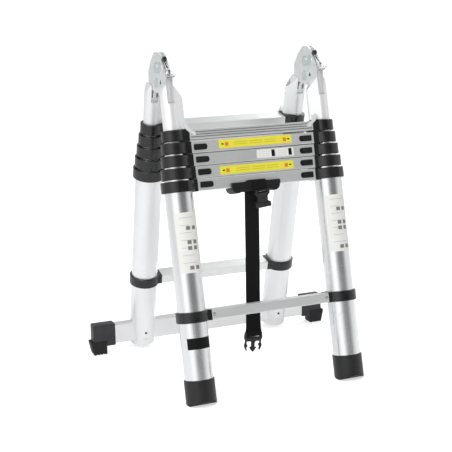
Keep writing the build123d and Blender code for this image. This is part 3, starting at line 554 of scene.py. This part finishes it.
def labels():
    """Plain stickers in the places of the real ones."""
    yellow_band(4, -93.5, 102.5, -8.3, 12.5)
    yellow_band(2, -97.5, 100.5, -11.0, 9.3)
    white_pair(3, -9.3, 11.3)
    for side, low, high in ((LEFT, 315.0, 460.0), (RIGHT, 322.0, 466.0)):
        made = tube_label(side * STILE_X, TUBE_RADIUS, -48, 62, low, high)
        piece(f"label_tall_{SIDE_NAMES[side]}", [made], leg_frame(FRONT), PAPER, "front_base")
        for row in range(7):
            height = low + 24 + 18 * row
            end_angle = 30 - 12 * (row % 3)
            made = tube_label(side * STILE_X, TUBE_RADIUS + PRINT_LIFT, -30, end_angle, height, height + 1.2)
            name = f"label_tall_{SIDE_NAMES[side]}_rule_{row}"
            piece(name, [made], leg_frame(FRONT), PALE_PRINT, "front_base")
        blocks = [
            tube_label(side * STILE_X, TUBE_RADIUS + 2 * PRINT_LIFT, angle, angle + 17, height, height + 9)
            for height in (low + 8, low + 55, low + 69, low + 103)
            for angle in (-6, 20)
        ]
        piece(f"label_tall_{SIDE_NAMES[side]}_blocks", blocks, leg_frame(FRONT), GREY_PRINT, "front_base")
    made = tube_label(-STILE_X, TUBE_RADIUS, -52, 57, 133.0, 160.0)
    piece("label_dark", [made], leg_frame(FRONT), INK, "front_base")
    angle = radians(-35.5)
    made = plate([[(5 * cos(2 * pi * n / 24), 5 * sin(2 * pi * n / 24)) for n in range(24)]], 0.3, 0.1)
    turn = at(STILE_X, 0, 162) @ Matrix.Rotation(angle, 4, "Z") @ at(0, -TUBE_RADIUS - 0.1, 0) @ FACING_FRONT
    piece("label_round", [moved(made, turn)], leg_frame(FRONT), PAPER, "front_base")


# ---------------------------------------------------------------- rivets and bolts

RIVET = zinc("rivet_bright", (0.86, 0.87, 0.87), 0.22)
# dark grey aluminium for the strips of painted shade inside the top rungs' grooves
GROOVE_SHADE = drawn_aluminium("groove_painted_shade", (0.20, 0.21, 0.21), 0.5, ALONG_X, metallic=0.6)
DARK_STEEL = zinc("bolt_black", (0.05, 0.05, 0.055), 0.35)


def facing_out(x, out, height, face):
    """Stands a z-axis part on a rung's outer face, in its leg's frame."""
    return at(x, out * face, height) @ Matrix.Rotation(-out * pi / 2, 4, "X")


BASE_RIVET_X, BASE_RIVET_H = 152.4, 209.5  # ends of the low rungs
STAY_RIVET_X, STAY_RIVET_H = 161.9, 643.4
STAY_SCREW_X, STAY_SCREW_H = 171.3, 655.6
NOSE_REACH = 33.75  # from the stile axis to the stay's inner face
NOSE_HEIGHTS = (719, 680)
BAR_BOLT_H, BAR_RING_H = 53.0, 33.5  # low on the rear stiles


def fasteners():
    """Rivets and screws of rungs and stays, and the two bar fixings low on each rear stile."""
    for out in (FRONT, REAR):
        leg = LEG_NAMES[out]
        rise = REAR_RISE if out == REAR else 0.0
        for side in SIDES:
            tag = f"{leg}_{SIDE_NAMES[side]}"
            seat = lathe([(0, 0), (4.0, 0), (3.8, 0.25), (0, 0.25)], 24)
            seat = moved(seat, facing_out(side * BASE_RIVET_X, out, BASE_RIVET_H, RUNG_FACE))
            piece(f"rivet_seat_{tag}", [seat], leg_frame(out, rise), DARK_STEEL, f"{leg}_base")
            low = moved(rivet(2.9, 1.2), facing_out(side * BASE_RIVET_X, out, BASE_RIVET_H, RUNG_FACE + 0.1))
            piece(f"rivet_base_{tag}", [low], leg_frame(out, rise), RIVET, f"{leg}_base")
            foot = moved(rivet(3.4, 1.3), facing_out(side * STAY_RIVET_X, out, STAY_RIVET_H, RUNG_FACE + 2.2))
            piece(f"rivet_stay_{tag}", [foot], leg_frame(out, rise), RIVET, f"{leg}_stage_5")
            hole = moved(rivet(2.4, 0.5), facing_out(side * STAY_SCREW_X, out, STAY_SCREW_H, RUNG_FACE + 0.4))
            piece(f"screw_stay_{tag}", [hole], leg_frame(out, rise), DARK_STEEL, f"{leg}_stage_5")
            inwards = Matrix.Rotation(-side * pi / 2, 4, "Y")
            nose_x = side * (STILE_X - NOSE_REACH)
            nose = [moved(rivet(1.9, 0.7), at(nose_x, 0, height) @ inwards) for height in NOSE_HEIGHTS]
            piece(f"rivet_nose_{tag}", nose, leg_frame(out), RIVET, f"{leg}_stage_5")
    for side in SIDES:
        rear_leg = leg_frame(REAR, REAR_RISE)
        inner = facing_out(side * STILE_X, FRONT, BAR_BOLT_H, TUBE_RADIUS - 0.4)
        bolt = lathe([(0, 0), (3.2, 0), (3.2, 1.0), (2.7, 1.5), (1.6, 1.5), (1.4, 0.8), (0, 0.8)], 24)
        piece(f"bar_bolt_{SIDE_NAMES[side]}", [moved(bolt, inner)], rear_leg, DARK_STEEL, "rear_base")
        inner = facing_out(side * STILE_X, FRONT, BAR_RING_H, TUBE_RADIUS - 0.4)
        ring = lathe([(0, 0), (4.2, 0), (4.2, 0.6), (3.6, 0.9), (2.6, 0.6), (0, 0.6)], 24)
        piece(f"bar_ring_{SIDE_NAMES[side]}", [moved(ring, inner)], rear_leg, RIVET, "rear_base")


TOP_RUNG_HALF, TOP_RUNG_HEIGHT = 162.0, 23.0  # within which the grooves run
GROOVE_OUTER, GROOVE_INNER = RUNG_FACE - 0.5, RUNG_FACE - 0.75
GROOVE_HALF = 0.9


def top_rung_groove_shade():
    """Dark strips of painted shade in the three grooves along each top rung's outer face."""
    low = RUNG_MIDDLE + 4 * RUNG_PITCH - TOP_RUNG_HEIGHT / 2
    for out in (FRONT, REAR):
        rise = REAR_RISE if out == REAR else 0.0
        strips = []
        for number in range(3):
            middle = low + TOP_RUNG_HEIGHT * (number + 1) / 4
            bottom, top = middle - GROOVE_HALF, middle + GROOVE_HALF
            inner, outer = out * GROOVE_INNER, out * GROOVE_OUTER
            strips.append(block(-TOP_RUNG_HALF, TOP_RUNG_HALF, inner, outer, bottom, top))
        name = f"{LEG_NAMES[out]}_groove_shade"
        piece(name, strips, leg_frame(out, rise), GROOVE_SHADE, f"{LEG_NAMES[out]}_stage_5")


GRIP_FACE = RUNG_FACE + 1.4  # a thumb pad's outer face
GRIP_HEIGHT = 0.9


def latch_grips():
    """Three raised grip bars on each thumb pad."""
    for out in (FRONT, REAR):
        rise = REAR_RISE if out == REAR else 0.0
        for stage in range(1, 5):
            middle = RUNG_MIDDLE + RUNG_PITCH * (stage - 1)
            end = RUNG_HALF_LENGTH + RUNG_HALF_STEP * (stage - 1)
            inner, outer = out * GRIP_FACE, out * (GRIP_FACE + GRIP_HEIGHT)
            for side in SIDES:
                bars = []
                for number in range(3):
                    x = side * (end - 14.0 - 4.5 * number)
                    bars.append(block(x - 0.8, x + 0.8, inner, outer, middle - 4.2, middle + 4.2))
                body = f"{LEG_NAMES[out]}_latch_{SIDE_NAMES[side]}_{stage}"
                piece(f"{body}_grip", bars, leg_frame(out, rise), LATCH, body)


# ---------------------------------------------------------------- hinge details and release levers

CHROME = zinc("lever_chrome", (0.82, 0.83, 0.84), 0.08)
CHANNEL = drawn_aluminium("slot_channel_strip", (0.80, 0.82, 0.82), 0.45, along_leg(FRONT), metallic=0.55)
KNOB = moulded_plastic("knob_plastic", (0.010, 0.010, 0.011), 0.3)
CHEEK_OUTER = 8.5
SHADE = moulded_plastic("shadow_black", (0.006, 0.006, 0.007), 0.8)


def slope(t, offset):
    """(y, z) from the pivot, t down the cheeks' front edge from its top and offset outside it."""
    dy, dz = SLOPE_END[0] - SLOPE_TOP[0], SLOPE_END[1] - SLOPE_TOP[1]
    length = hypot(dy, dz)
    dy, dz = dy / length, dz / length
    return SLOPE_TOP[0] + t * dy + offset * dz, SLOPE_TOP[1] + t * dz - offset * dy


UPPER_BOSS = (-25.0, 0.6)  # (y, z) from the pivot
LOWER_BOSS = (0.0, -37.6)
LOWER_BOSS_SCALE = 0.92


def hinge_embossing():
    """Round pressings on both faces of each hinge, and a dark triangular plate of painted shade where the
    small triangular opening is.
    """
    boss = [(0, -0.2), (15.4, -0.2), (15.0, 0.5), (13.6, 1.3), (12.4, 1.3), (11.6, 0.7), (0, 0.7)]
    for side in SIDES:
        for face in SIDES:
            turn = Matrix.Rotation(face * pi / 2, 4, "Y")
            upper = moved(lathe(boss, 48), at(face * CHEEK_OUTER, *UPPER_BOSS) @ turn)
            smaller = turn @ Matrix.Scale(LOWER_BOSS_SCALE, 4)
            lower = moved(lathe(boss, 48), at(face * CHEEK_OUTER, *LOWER_BOSS) @ smaller)
            name = f"hinge_boss_{SIDE_NAMES[side]}_{SIDE_NAMES[face]}"
            piece(name, [upper, lower], pivot_frame(side), PIVOT, "front_stage_5")
            # a dark triangular plate on the cheek face: painted shade standing in for the small opening
            mark = plate([rounded([(-29, -27), (-34.5, -37), (-24, -37)], 1.2)], 0.5, 0.1)
            standing = at(face * CHEEK_OUTER, 0, 0) @ FACING_SIDE
            name = f"hinge_hole_shade_{SIDE_NAMES[side]}_{SIDE_NAMES[face]}"
            piece(name, [moved(mark, standing)], pivot_frame(side), SHADE, "front_stage_5")


def slot_channel(side):
    """Pale folded strip that closes the front of the hinge between the cheeks, tapering down the slot."""
    ahead, top, bottom = 17.4, 785.0, 724.5  # ahead of the stile axis
    strip_path = [(-ahead, bottom), (-ahead, top)]
    strip = ribbon(strip_path, [5.6, 9.8], 1.2, crown=-0.4, columns=8, rows=12)
    fold_path = [(-ahead - 1.3, bottom + 3), (-ahead - 1.3, top - 4)]
    fold = ribbon(fold_path, [1.3, 2.6], 1.0, middle=side * 0.5, rows=6)
    made = [moved(part, at(side * STILE_X, 0, 0)) for part in (strip, fold)]
    piece(f"slot_channel_{SIDE_NAMES[side]}", made, leg_frame(FRONT), CHANNEL, "front_stage_5")
    x, half = side * STILE_X, 8.8
    behind = block(x - half, x + half, -ahead + 0.8, -ahead + 2.2, bottom - 2, 764)
    piece(f"slot_backing_{SIDE_NAMES[side]}", [behind], leg_frame(FRONT), TOP_TUBE, "front_stage_5")


def release_lever(side):
    """Chromed channel with a black knob at its top and a thumb wing at its lower end."""
    node = f"hinge_lever_{SIDE_NAMES[side]}"
    base = [slope(18, -3.0), slope(34, -3.0), slope(47, 1.4), slope(60, 4.3)]
    parts = [ribbon(base, [2.2, 3.0, 4.4, 7.0], 1.2)]
    rail = [slope(17, -5), slope(18, 0.8), slope(32, 1.6), slope(44.5, 6.5), slope(57, 10.5), slope(65, 12)]
    rail += [slope(68, 7), slope(62, 4.8), slope(47, 1.7), slope(43, -5)]
    hinge_y = slope(43, 0)[0]
    for wall in SIDES:
        edge = plate([rounded(rail, 2.0)], 1.6, 0.6)
        splay = at(wall * 3.6, hinge_y, 0) @ Matrix.Rotation(wall * 0.09, 4, "Z") @ at(0, -hinge_y, 0)
        parts.append(moved(edge, splay @ FACING_SIDE))
    wing = [slope(53, 6.0), slope(60, 4.6), slope(66, 5.0), slope(70, 8.5), slope(72, 14), slope(71.5, 19)]
    parts.append(ribbon(wing, [7.0, 8.5, 10.5, 11.8, 12.3, 11.4], 1.7, crown=-1.2, columns=10))
    lip = [slope(64, 1.5), slope(68.5, 3.0), slope(71, 7.0)]
    parts.append(ribbon(lip, [8.5, 9.6, 10.6], 2.2, crown=-0.8, columns=10))
    piece(f"lever_channel_{SIDE_NAMES[side]}", parts, pivot_frame(side), CHROME, node)
    # a dark sheet of painted shade down the inside of the chromed channel
    dark = ribbon([slope(17, -2.0), slope(36, -1.6), slope(54, 4.0)], [1.3, 1.7, 2.7], 0.8, middle=1.2)
    piece(f"lever_insert_{SIDE_NAMES[side]}", [dark], pivot_frame(side), SHADE, node)
    spring_path = [slope(19, -0.6), slope(36, 0.4), slope(54, 5.4)]
    spring = ribbon(spring_path, [1.0, 1.3, 1.8], 1.2, middle=-1.9, crown=-0.5)
    piece(f"lever_spring_{SIDE_NAMES[side]}", [spring], pivot_frame(side), CHROME, node)
    y, z = slope(13.5, 2.8)
    knob = lathe([(0, -4.7), (4.8, -4.7), (6.0, -3.7), (6.4, 0), (6.0, 3.7), (4.8, 4.7), (0, 4.7)], 32)
    turned = moved(knob, at(0, y, z) @ LYING_X)
    made = piece(f"lever_knob_{SIDE_NAMES[side]}", [turned], pivot_frame(side), KNOB, node)
    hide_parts(node)
    stem = [slope(16, 1.5), slope(24, 1.5), slope(24, -3.0), slope(20, -5.0), slope(16, -3.0)]
    pin = moved(lathe([(0, -8.4), (3, -8.4), (3, 8.4), (0, 8.4)], 20), at(0, *slope(44, -7)) @ LYING_X)
    web = [slope(40, 2), slope(48, 2), slope(49, -9), slope(44, -12), slope(39, -9)]
    inner = [moved(plate([outline], 7.6, 0.3), FACING_SIDE) for outline in (stem, web)]
    piece(f"lever_tooth_{SIDE_NAMES[side]}", inner + [pin], pivot_frame(side), PIVOT, node)


# ---------------------------------------------------------------- handle, strap and buckles

HANDLE_LEFT, HANDLE_RIGHT = -74.0, 56.0
LIP_LOW, LIP_TOP = 507.0, 518.8
LOBE_RADIUS = 15.0
LOBE_CENTRE_H = 507.4
GRIP_BOTTOM = 495.2
STRAP_X, STRAP_Y = -19.0, -132.0
STRAP_HALF = 19.0
STRAP_TOP = 491.0
CLIP_TOP = 122.0
CLIP_TILT = radians(-4.0)  # the loose ends hang a little out of square
SOCKET_X, SOCKET_Y = 3.0, -143.0
SOCKET_SLOT_Z = 484.0
SOCKET_TILT = radians(5.0)


def webbing_look(name, color):
    """Woven polyester webbing: fine ribs along the strap crossed by the weft."""
    g = Graph(name)
    warp = g.node("ShaderNodeTexWave", {"Vector": g.place((1, 1, 1)), "Scale": 210.0, "Distortion": 0.4})
    weft = g.node("ShaderNodeTexWave", {"Vector": g.place((1, 1, 1)), "Scale": 150.0, "Distortion": 0.6})
    weft.bands_direction = "Z"
    fuzz = g.noise(g.place((900, 900, 900)), 1.0, 3.0)
    weave = g.math("MULTIPLY", warp.outputs["Fac"], weft.outputs["Fac"])
    height = g.math("ADD", weave, g.math("MULTIPLY", fuzz, 0.4))
    # colour follows the weave's height as painted shade: darker in the hollows, paler on the raised threads,
    # with the random fuzz mixed in
    tone = g.mix(height, rgb(*(0.5 * c for c in color)), rgb(*(1.5 * c for c in color)))
    g.set(Base_Color=tone, Roughness=0.82, Normal=g.bump(height, 0.5, 0.0006))
    g.bsdf.inputs["Sheen Weight"].default_value = 0.03
    g.bsdf.inputs["Specular IOR Level"].default_value = 0.15
    return g.material


WEBBING = webbing_look("strap_webbing", (0.007, 0.007, 0.008))
THREAD = webbing_look("strap_thread", (0.016, 0.016, 0.018))
CLIP = moulded_plastic("buckle_plastic", (0.010, 0.010, 0.011), 0.30, grain=500.0, spec=0.4)


def arc(centre, radius, start, end, steps=10):
    """Points on an arc, angles in degrees."""
    angles = [radians(start + (end - start) * step / steps) for step in range(steps + 1)]
    return [(centre[0] + radius * cos(a), centre[1] + radius * sin(a)) for a in angles]


def carry_grip():
    """Front lip with a raised middle, over a grip that runs under the rung and swells at both ends."""
    lip = [(HANDLE_LEFT, LIP_LOW), (HANDLE_LEFT, LIP_TOP), (-38, LIP_TOP), (-30, 522.6), (10, 522.6)]
    lip += [(17, LIP_TOP), (HANDLE_RIGHT, LIP_TOP), (HANDLE_RIGHT, LIP_LOW)]
    lip_front, lip_back = 28.5, RUNG_FACE + 0.1
    depth = lip_front - lip_back
    front = moved(plate([rounded(lip, 2.0)], depth, 1.4), at(0, -(lip_front - depth / 2), 0) @ FACING_FRONT)
    left, right = HANDLE_LEFT + 1 + LOBE_RADIUS, HANDLE_RIGHT - 0.5 - LOBE_RADIUS
    under = arc((left, LOBE_CENTRE_H), LOBE_RADIUS, 180, 305)
    under += [(left + 18, GRIP_BOTTOM), (right - 18, GRIP_BOTTOM)]
    under += arc((right, LOBE_CENTRE_H), LOBE_RADIUS, 235, 360)
    body_front, body_back = 26.5, -20.0
    depth = body_front - body_back
    middle = -(body_front + body_back) / 2
    grip = moved(plate([under], depth, 2.0), at(0, middle, 0) @ FACING_FRONT)
    made = piece("carry_grip", [front, grip], leg_frame(FRONT), HANDLE, "front_base")
    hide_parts("carry_handle")
    loop_path = [(-24.0, 521.6), (-28.9, 521.8), (-30.6, 519.5), (-31.2, 505), (-30.4, 499), (-30.6, 495.5)]
    loop = ribbon(loop_path, [17.5] * 2, 1.7, middle=-2.0, rows=24)
    piece("socket_loop", [loop], leg_frame(FRONT), WEBBING, "front_base")


def strap():
    """Webbing from the grip down to the clip, through the clip's slot and stitched back on itself."""
    front = STRAP_Y - 5.6
    path = [(STRAP_Y, STRAP_TOP), (STRAP_Y, 430), (STRAP_Y - 0.8, 330), (STRAP_Y + 0.4, 230)]
    path += [(STRAP_Y - 0.6, 150), (STRAP_Y - 2.5, 132), (front, 121), (front, 113)]
    path += [(STRAP_Y - 2, 110.2), (STRAP_Y + 4, 111)]
    path += [(STRAP_Y + 5.6, 115), (STRAP_Y + 5.4, 121), (STRAP_Y + 2.6, 134), (STRAP_Y + 1.8, 172)]
    halves = [STRAP_HALF] * 12 + [STRAP_HALF + 0.6] * 2 + [STRAP_HALF] * 2
    band = ribbon(path, halves, 1.7, middle=STRAP_X, columns=8, rows=150)
    made = piece("strap_band", [band], WORLD, WEBBING, "strap")
    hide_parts("strap_webbing")
    stitches = []
    for z in (138, 166):
        for number in range(11):
            x = STRAP_X - 15 + 3 * number
            stitches.append(block(x - 1.0, x + 1.0, STRAP_Y - 2.4, STRAP_Y - 1.4, z - 0.4, z + 0.4))
    for x in (STRAP_X - 16, STRAP_X + 16):
        for number in range(9):
            z = 140 + 3 * number
            stitches.append(block(x - 0.4, x + 0.4, STRAP_Y - 2.4, STRAP_Y - 1.4, z - 1.0, z + 1.0))
    piece("strap_stitches", stitches, WORLD, THREAD, "strap")


def mirrored(half_outline):
    """Closed outline from its right half, listed from the top downwards."""
    return list(half_outline) + [(-x, y) for x, y in reversed(half_outline)]


def prong_clip():
    """Male half: a slotted bar, two barbed spring arms and an arrow-shaped guide. y is down from its top."""
    body = rounded(mirrored([(22.6, 0), (24.4, -15.5), (22.4, -21)]), 2.5)
    slot = rounded([(-18.8, -9.2), (18.8, -9.2), (18.8, -13.8), (-18.8, -13.8)], 2.0)
    arm = [(18.0, -18), (22.2, -18), (21.6, -29), (24.2, -34.5), (23.2, -40), (18.4, -49), (16.8, -48)]
    arm += [(18.4, -40), (14.8, -36), (18.3, -30)]
    half_guide = [(8.5, -20), (8.0, -24), (4.6, -28), (4.4, -39.5), (9.7, -41), (2.2, -51.5), (0.8, -52.6)]
    guide = mirrored(half_guide)
    web = mirrored([(20, -19), (18.5, -24.5), (6, -24.5)])
    parts = [plate([body, slot], 9.0, 1.6)]
    parts.append(plate([rounded(arm, 1.2)], 6.6, 1.2))
    parts.append(plate([rounded([(-x, y) for x, y in arm], 1.2)], 6.6, 1.2))
    parts.append(plate([rounded(guide, 0.8)], 5.6, 1.2))
    parts.append(plate([rounded(web, 2.0)], 6.4, 1.0))
    ridge = plate([rounded([(-1.1, -24), (1.1, -24), (1.1, -46), (-1.1, -46)], 1.0)], 7.4, 0.6)
    place = at(STRAP_X, STRAP_Y, CLIP_TOP) @ Matrix.Rotation(-CLIP_TILT, 4, "Y") @ FACING_FRONT
    made = piece("prong_clip", parts + [ridge], WORLD @ place, CLIP, "strap")
    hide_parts("strap_buckle_prong")


def socket_clip():
    """Female half: waisted shell with open sides, hanging from its slot by the loop."""
    shell = mirrored([(17.5, 6.5), (19.6, -5), (13.2, -11), (12.8, -23), (20.4, -27.5), (21.0, -39)])
    shell = rounded(shell, 2.5)
    slot = rounded([(-13.5, 1.9), (13.5, 1.9), (13.5, -0.6), (-13.5, -0.6)], 1.0)
    parts = []
    for depth in (-4.2, 4.2):
        parts.append(moved(plate([shell, slot], 2.8, 1.0), at(0, 0, depth)))
    inner = rounded(mirrored([(12.4, -6), (11.6, -12), (11.4, -24)]), 1.5)
    parts.append(plate([inner], 7.0, 0.4))
    top_bar = rounded([(-17, 6), (17, 6), (17, 2.1), (-17, 2.1)], 1.0)
    low_bar = rounded([(-17, -0.8), (17, -0.8), (14, -9), (-14, -9)], 1.0)
    parts.append(plate([top_bar], 8.0, 0.6))
    parts.append(plate([low_bar], 8.0, 0.6))
    for side in SIDES:
        cheek = [(17.4, -28.5), (20.3, -28.5), (20.7, -38.6), (17.8, -38.6)]
        parts.append(plate([rounded([(side * x, y) for x, y in cheek], 1.0)], 8.6, 0.6))
    pad = plate([rounded([(-8, -14), (8, -14), (8, -24), (-8, -24)], 2.5)], 12.0, 0.5)
    place = at(SOCKET_X, SOCKET_Y, SOCKET_SLOT_Z) @ Matrix.Rotation(-SOCKET_TILT, 4, "Y") @ FACING_FRONT
    made = piece("socket_clip", parts + [pad], WORLD @ place, CLIP, "buckle_socket")
    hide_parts("strap_buckle_socket")


# ---------------------------------------------------------------- stabiliser caps

CAP_OUTER, CAP_INNER = 348.0, 286.0
CAP_LOW, CAP_HIGH = 22.0, 84.0
CAP_MIDDLE_Y, CAP_DEPTH = 213.0, 31.0
PAD_INNER, PAD_OUTER_TOP, PAD_OUTER_LOW = 310.5, 354.9, 348.0
PAD_TOP, PAD_DEPTH = 37.5, 34.0


def stabiliser_caps():
    """Moulded socket over each end of the bar, ribbed on both faces, with a flared rubber foot."""
    for side in SIDES:
        socket = [(CAP_INNER, CAP_LOW), (CAP_INNER, CAP_HIGH), (CAP_OUTER, CAP_HIGH), (CAP_OUTER, CAP_LOW)]
        parts = [plate([rounded([(side * x, z) for x, z in socket], 3.0)], CAP_DEPTH, 1.6)]
        for number in range(3):
            x = side * (CAP_INNER + 14 + 14 * number)
            rib = rounded([(x - 1, 42), (x + 1, 42), (x + 1, 78), (x - 1, 78)], 1.0)
            parts.append(plate([rib], CAP_DEPTH + 1.0, 0.5))
        placed = [moved(part, at(0, CAP_MIDDLE_Y, 0) @ FACING_FRONT) for part in parts]
        made = piece(f"cap_socket_{SIDE_NAMES[side]}", placed, WORLD, CAP, "rear_base")
        if side == LEFT:
            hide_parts("stabiliser_caps")
        pad = [(PAD_INNER, PAD_TOP), (PAD_OUTER_TOP, PAD_TOP), (PAD_OUTER_TOP + 0.5, PAD_TOP - 5)]
        pad += [(PAD_OUTER_LOW, 0)]
        grooves = 3
        for number in range(grooves):
            x = PAD_OUTER_LOW - 6 - 9 * number
            pad += [(x, 0), (x - 1, 2.2), (x - 3, 2.2), (x - 4, 0)]
        pad += [(PAD_INNER + 1, 0)]
        radii = [2.0, 2.5, 3.0, 2.5] + [0.4] * 4 * grooves + [2.5]
        foot = plate([rounded([(side * x, z) for x, z in pad], radii)], PAD_DEPTH, 1.4)
        placed = [moved(foot, at(0, CAP_MIDDLE_Y, 0) @ FACING_FRONT)]
        piece(f"cap_foot_{SIDE_NAMES[side]}", placed, WORLD, CAP_FOOT_LOOK, "rear_base")


labels()
fasteners()
top_rung_groove_shade()
latch_grips()
hinge_embossing()
for stile_side in SIDES:
    slot_channel(stile_side)
    release_lever(stile_side)
carry_grip()
strap()
prong_clip()
socket_clip()
stabiliser_caps()

# ---------------------------------------------------------------- studio


def studio_world():
    """Bright all-round light with a darker band towards the front, as a photographer's black cards give."""
    world = bpy.data.worlds.new("studio")
    world.use_nodes = True
    bpy.context.scene.world = world
    tree = world.node_tree
    background = tree.nodes["Background"]
    coords = tree.nodes.new("ShaderNodeTexCoord")
    split = tree.nodes.new("ShaderNodeSeparateXYZ")
    tree.links.new(coords.outputs["Generated"], split.inputs[0])
    angle = tree.nodes.new("ShaderNodeMath")
    angle.operation = "ARCTAN2"
    tree.links.new(split.outputs["X"], angle.inputs[0])
    minus_y = tree.nodes.new("ShaderNodeMath")
    minus_y.operation = "MULTIPLY"
    minus_y.inputs[1].default_value = -1.0
    tree.links.new(split.outputs["Y"], minus_y.inputs[0])
    tree.links.new(minus_y.outputs[0], angle.inputs[1])
    ramp = tree.nodes.new("ShaderNodeValToRGB")
    to_unit = tree.nodes.new("ShaderNodeMapRange")
    to_unit.inputs["From Min"].default_value = -pi
    to_unit.inputs["From Max"].default_value = pi
    tree.links.new(angle.outputs[0], to_unit.inputs["Value"])
    tree.links.new(to_unit.outputs[0], ramp.inputs[0])
    stops = (
        (-180, 0.66),
        (-150, 0.64),
        (-118, 0.66),
        (-92, 0.80),
        (-58, 1.55),
        (-40, 1.25),
        (-24, 0.50),
        (-6, 0.20),
        (28, 0.20),
        (44, 0.60),
        (60, 0.90),
        (90, 0.90),
        (120, 0.75),
        (150, 0.65),
        (180, 0.66),
    )
    elements = ramp.color_ramp.elements
    for number, (azimuth, level) in enumerate(stops):
        place = (azimuth + 180) / 360
        element = elements[number] if number < 2 else elements.new(place)
        element.position = place
        element.color = (level, level, level, 1)
    camera_ray = tree.nodes.new("ShaderNodeLightPath").outputs["Is Camera Ray"]
    mix = tree.nodes.new("ShaderNodeMix")
    mix.data_type = "RGBA"
    tree.links.new(camera_ray, mix.inputs["Factor"])
    tree.links.new(ramp.outputs["Color"], mix.inputs["A"])
    mix.inputs["B"].default_value = (1.15, 1.15, 1.15, 1)
    tree.links.new(mix.outputs["Result"], background.inputs["Color"])
    background.inputs["Strength"].default_value = 0.9


def floor():
    """Pale paper floor, lifted a little for the camera so that it fades into the background."""
    bpy.ops.mesh.primitive_plane_add(size=40, location=(0, 0, -0.0005))
    plane = bpy.context.object
    plane.name = "floor"
    g = Graph("floor_paper")
    tint = g.noise(g.place((3, 3, 3)), 1.0, 2.0)
    g.set(Base_Color=g.mix(tint, rgb(0.80, 0.80, 0.80), rgb(0.84, 0.84, 0.84)), Roughness=0.95)
    g.bsdf.inputs["Emission Color"].default_value = rgb(1, 1, 1)
    seen = g.math("MULTIPLY", g.node("ShaderNodeLightPath").outputs["Is Camera Ray"], 0.35)
    g.put(g.math("ADD", seen, 0.20), g.bsdf.inputs["Emission Strength"])
    g.bsdf.inputs["Specular IOR Level"].default_value = 0.1
    plane.data.materials.append(g.material)


def area_light(name, place, target, size, power):
    """Soft rectangular lamp aimed at a point."""
    light = bpy.data.lights.new(name, "AREA")
    light.shape = "RECTANGLE"
    light.size, light.size_y = size
    light.energy = power
    holder = bpy.data.objects.new(name, light)
    bpy.context.scene.collection.objects.link(holder)
    holder.location = place
    holder.rotation_euler = (Vector(target) - Vector(place)).to_track_quat("-Z", "Y").to_euler()


def camera():
    """Placed round the ladder by azimuth, elevation and roll, at the distance of a short telephoto."""
    azimuth, elevation, roll = radians(-22.5), radians(13.02), radians(-1.05)
    distance, target = 2.6661, Vector((-0.0343, 0.0, 0.3714))
    back = Vector((sin(azimuth) * cos(elevation), -cos(azimuth) * cos(elevation), sin(elevation)))
    right = Vector((cos(azimuth), sin(azimuth), 0))
    up = back.cross(right)
    turned_right = right * cos(roll) + up * sin(roll)
    turned_up = up * cos(roll) - right * sin(roll)
    lens = bpy.data.cameras.new("camera")
    lens.lens = 81.96
    lens.sensor_width = 36.0
    holder = bpy.data.objects.new("camera", lens)
    bpy.context.scene.collection.objects.link(holder)
    axes = Matrix((turned_right, turned_up, back)).transposed()
    holder.matrix_world = Matrix.Translation(target + back * distance) @ axes.to_4x4()
    bpy.context.scene.camera = holder


studio_world()
floor()
area_light("key", (-1.6, -1.8, 2.6), (0, 0, 0.4), (1.6, 1.6), 34)
area_light("rim", (1.8, 1.4, 2.2), (0, 0, 0.4), (1.4, 1.4), 26)
camera()
bpy.context.scene.view_settings.view_transform = "Standard"
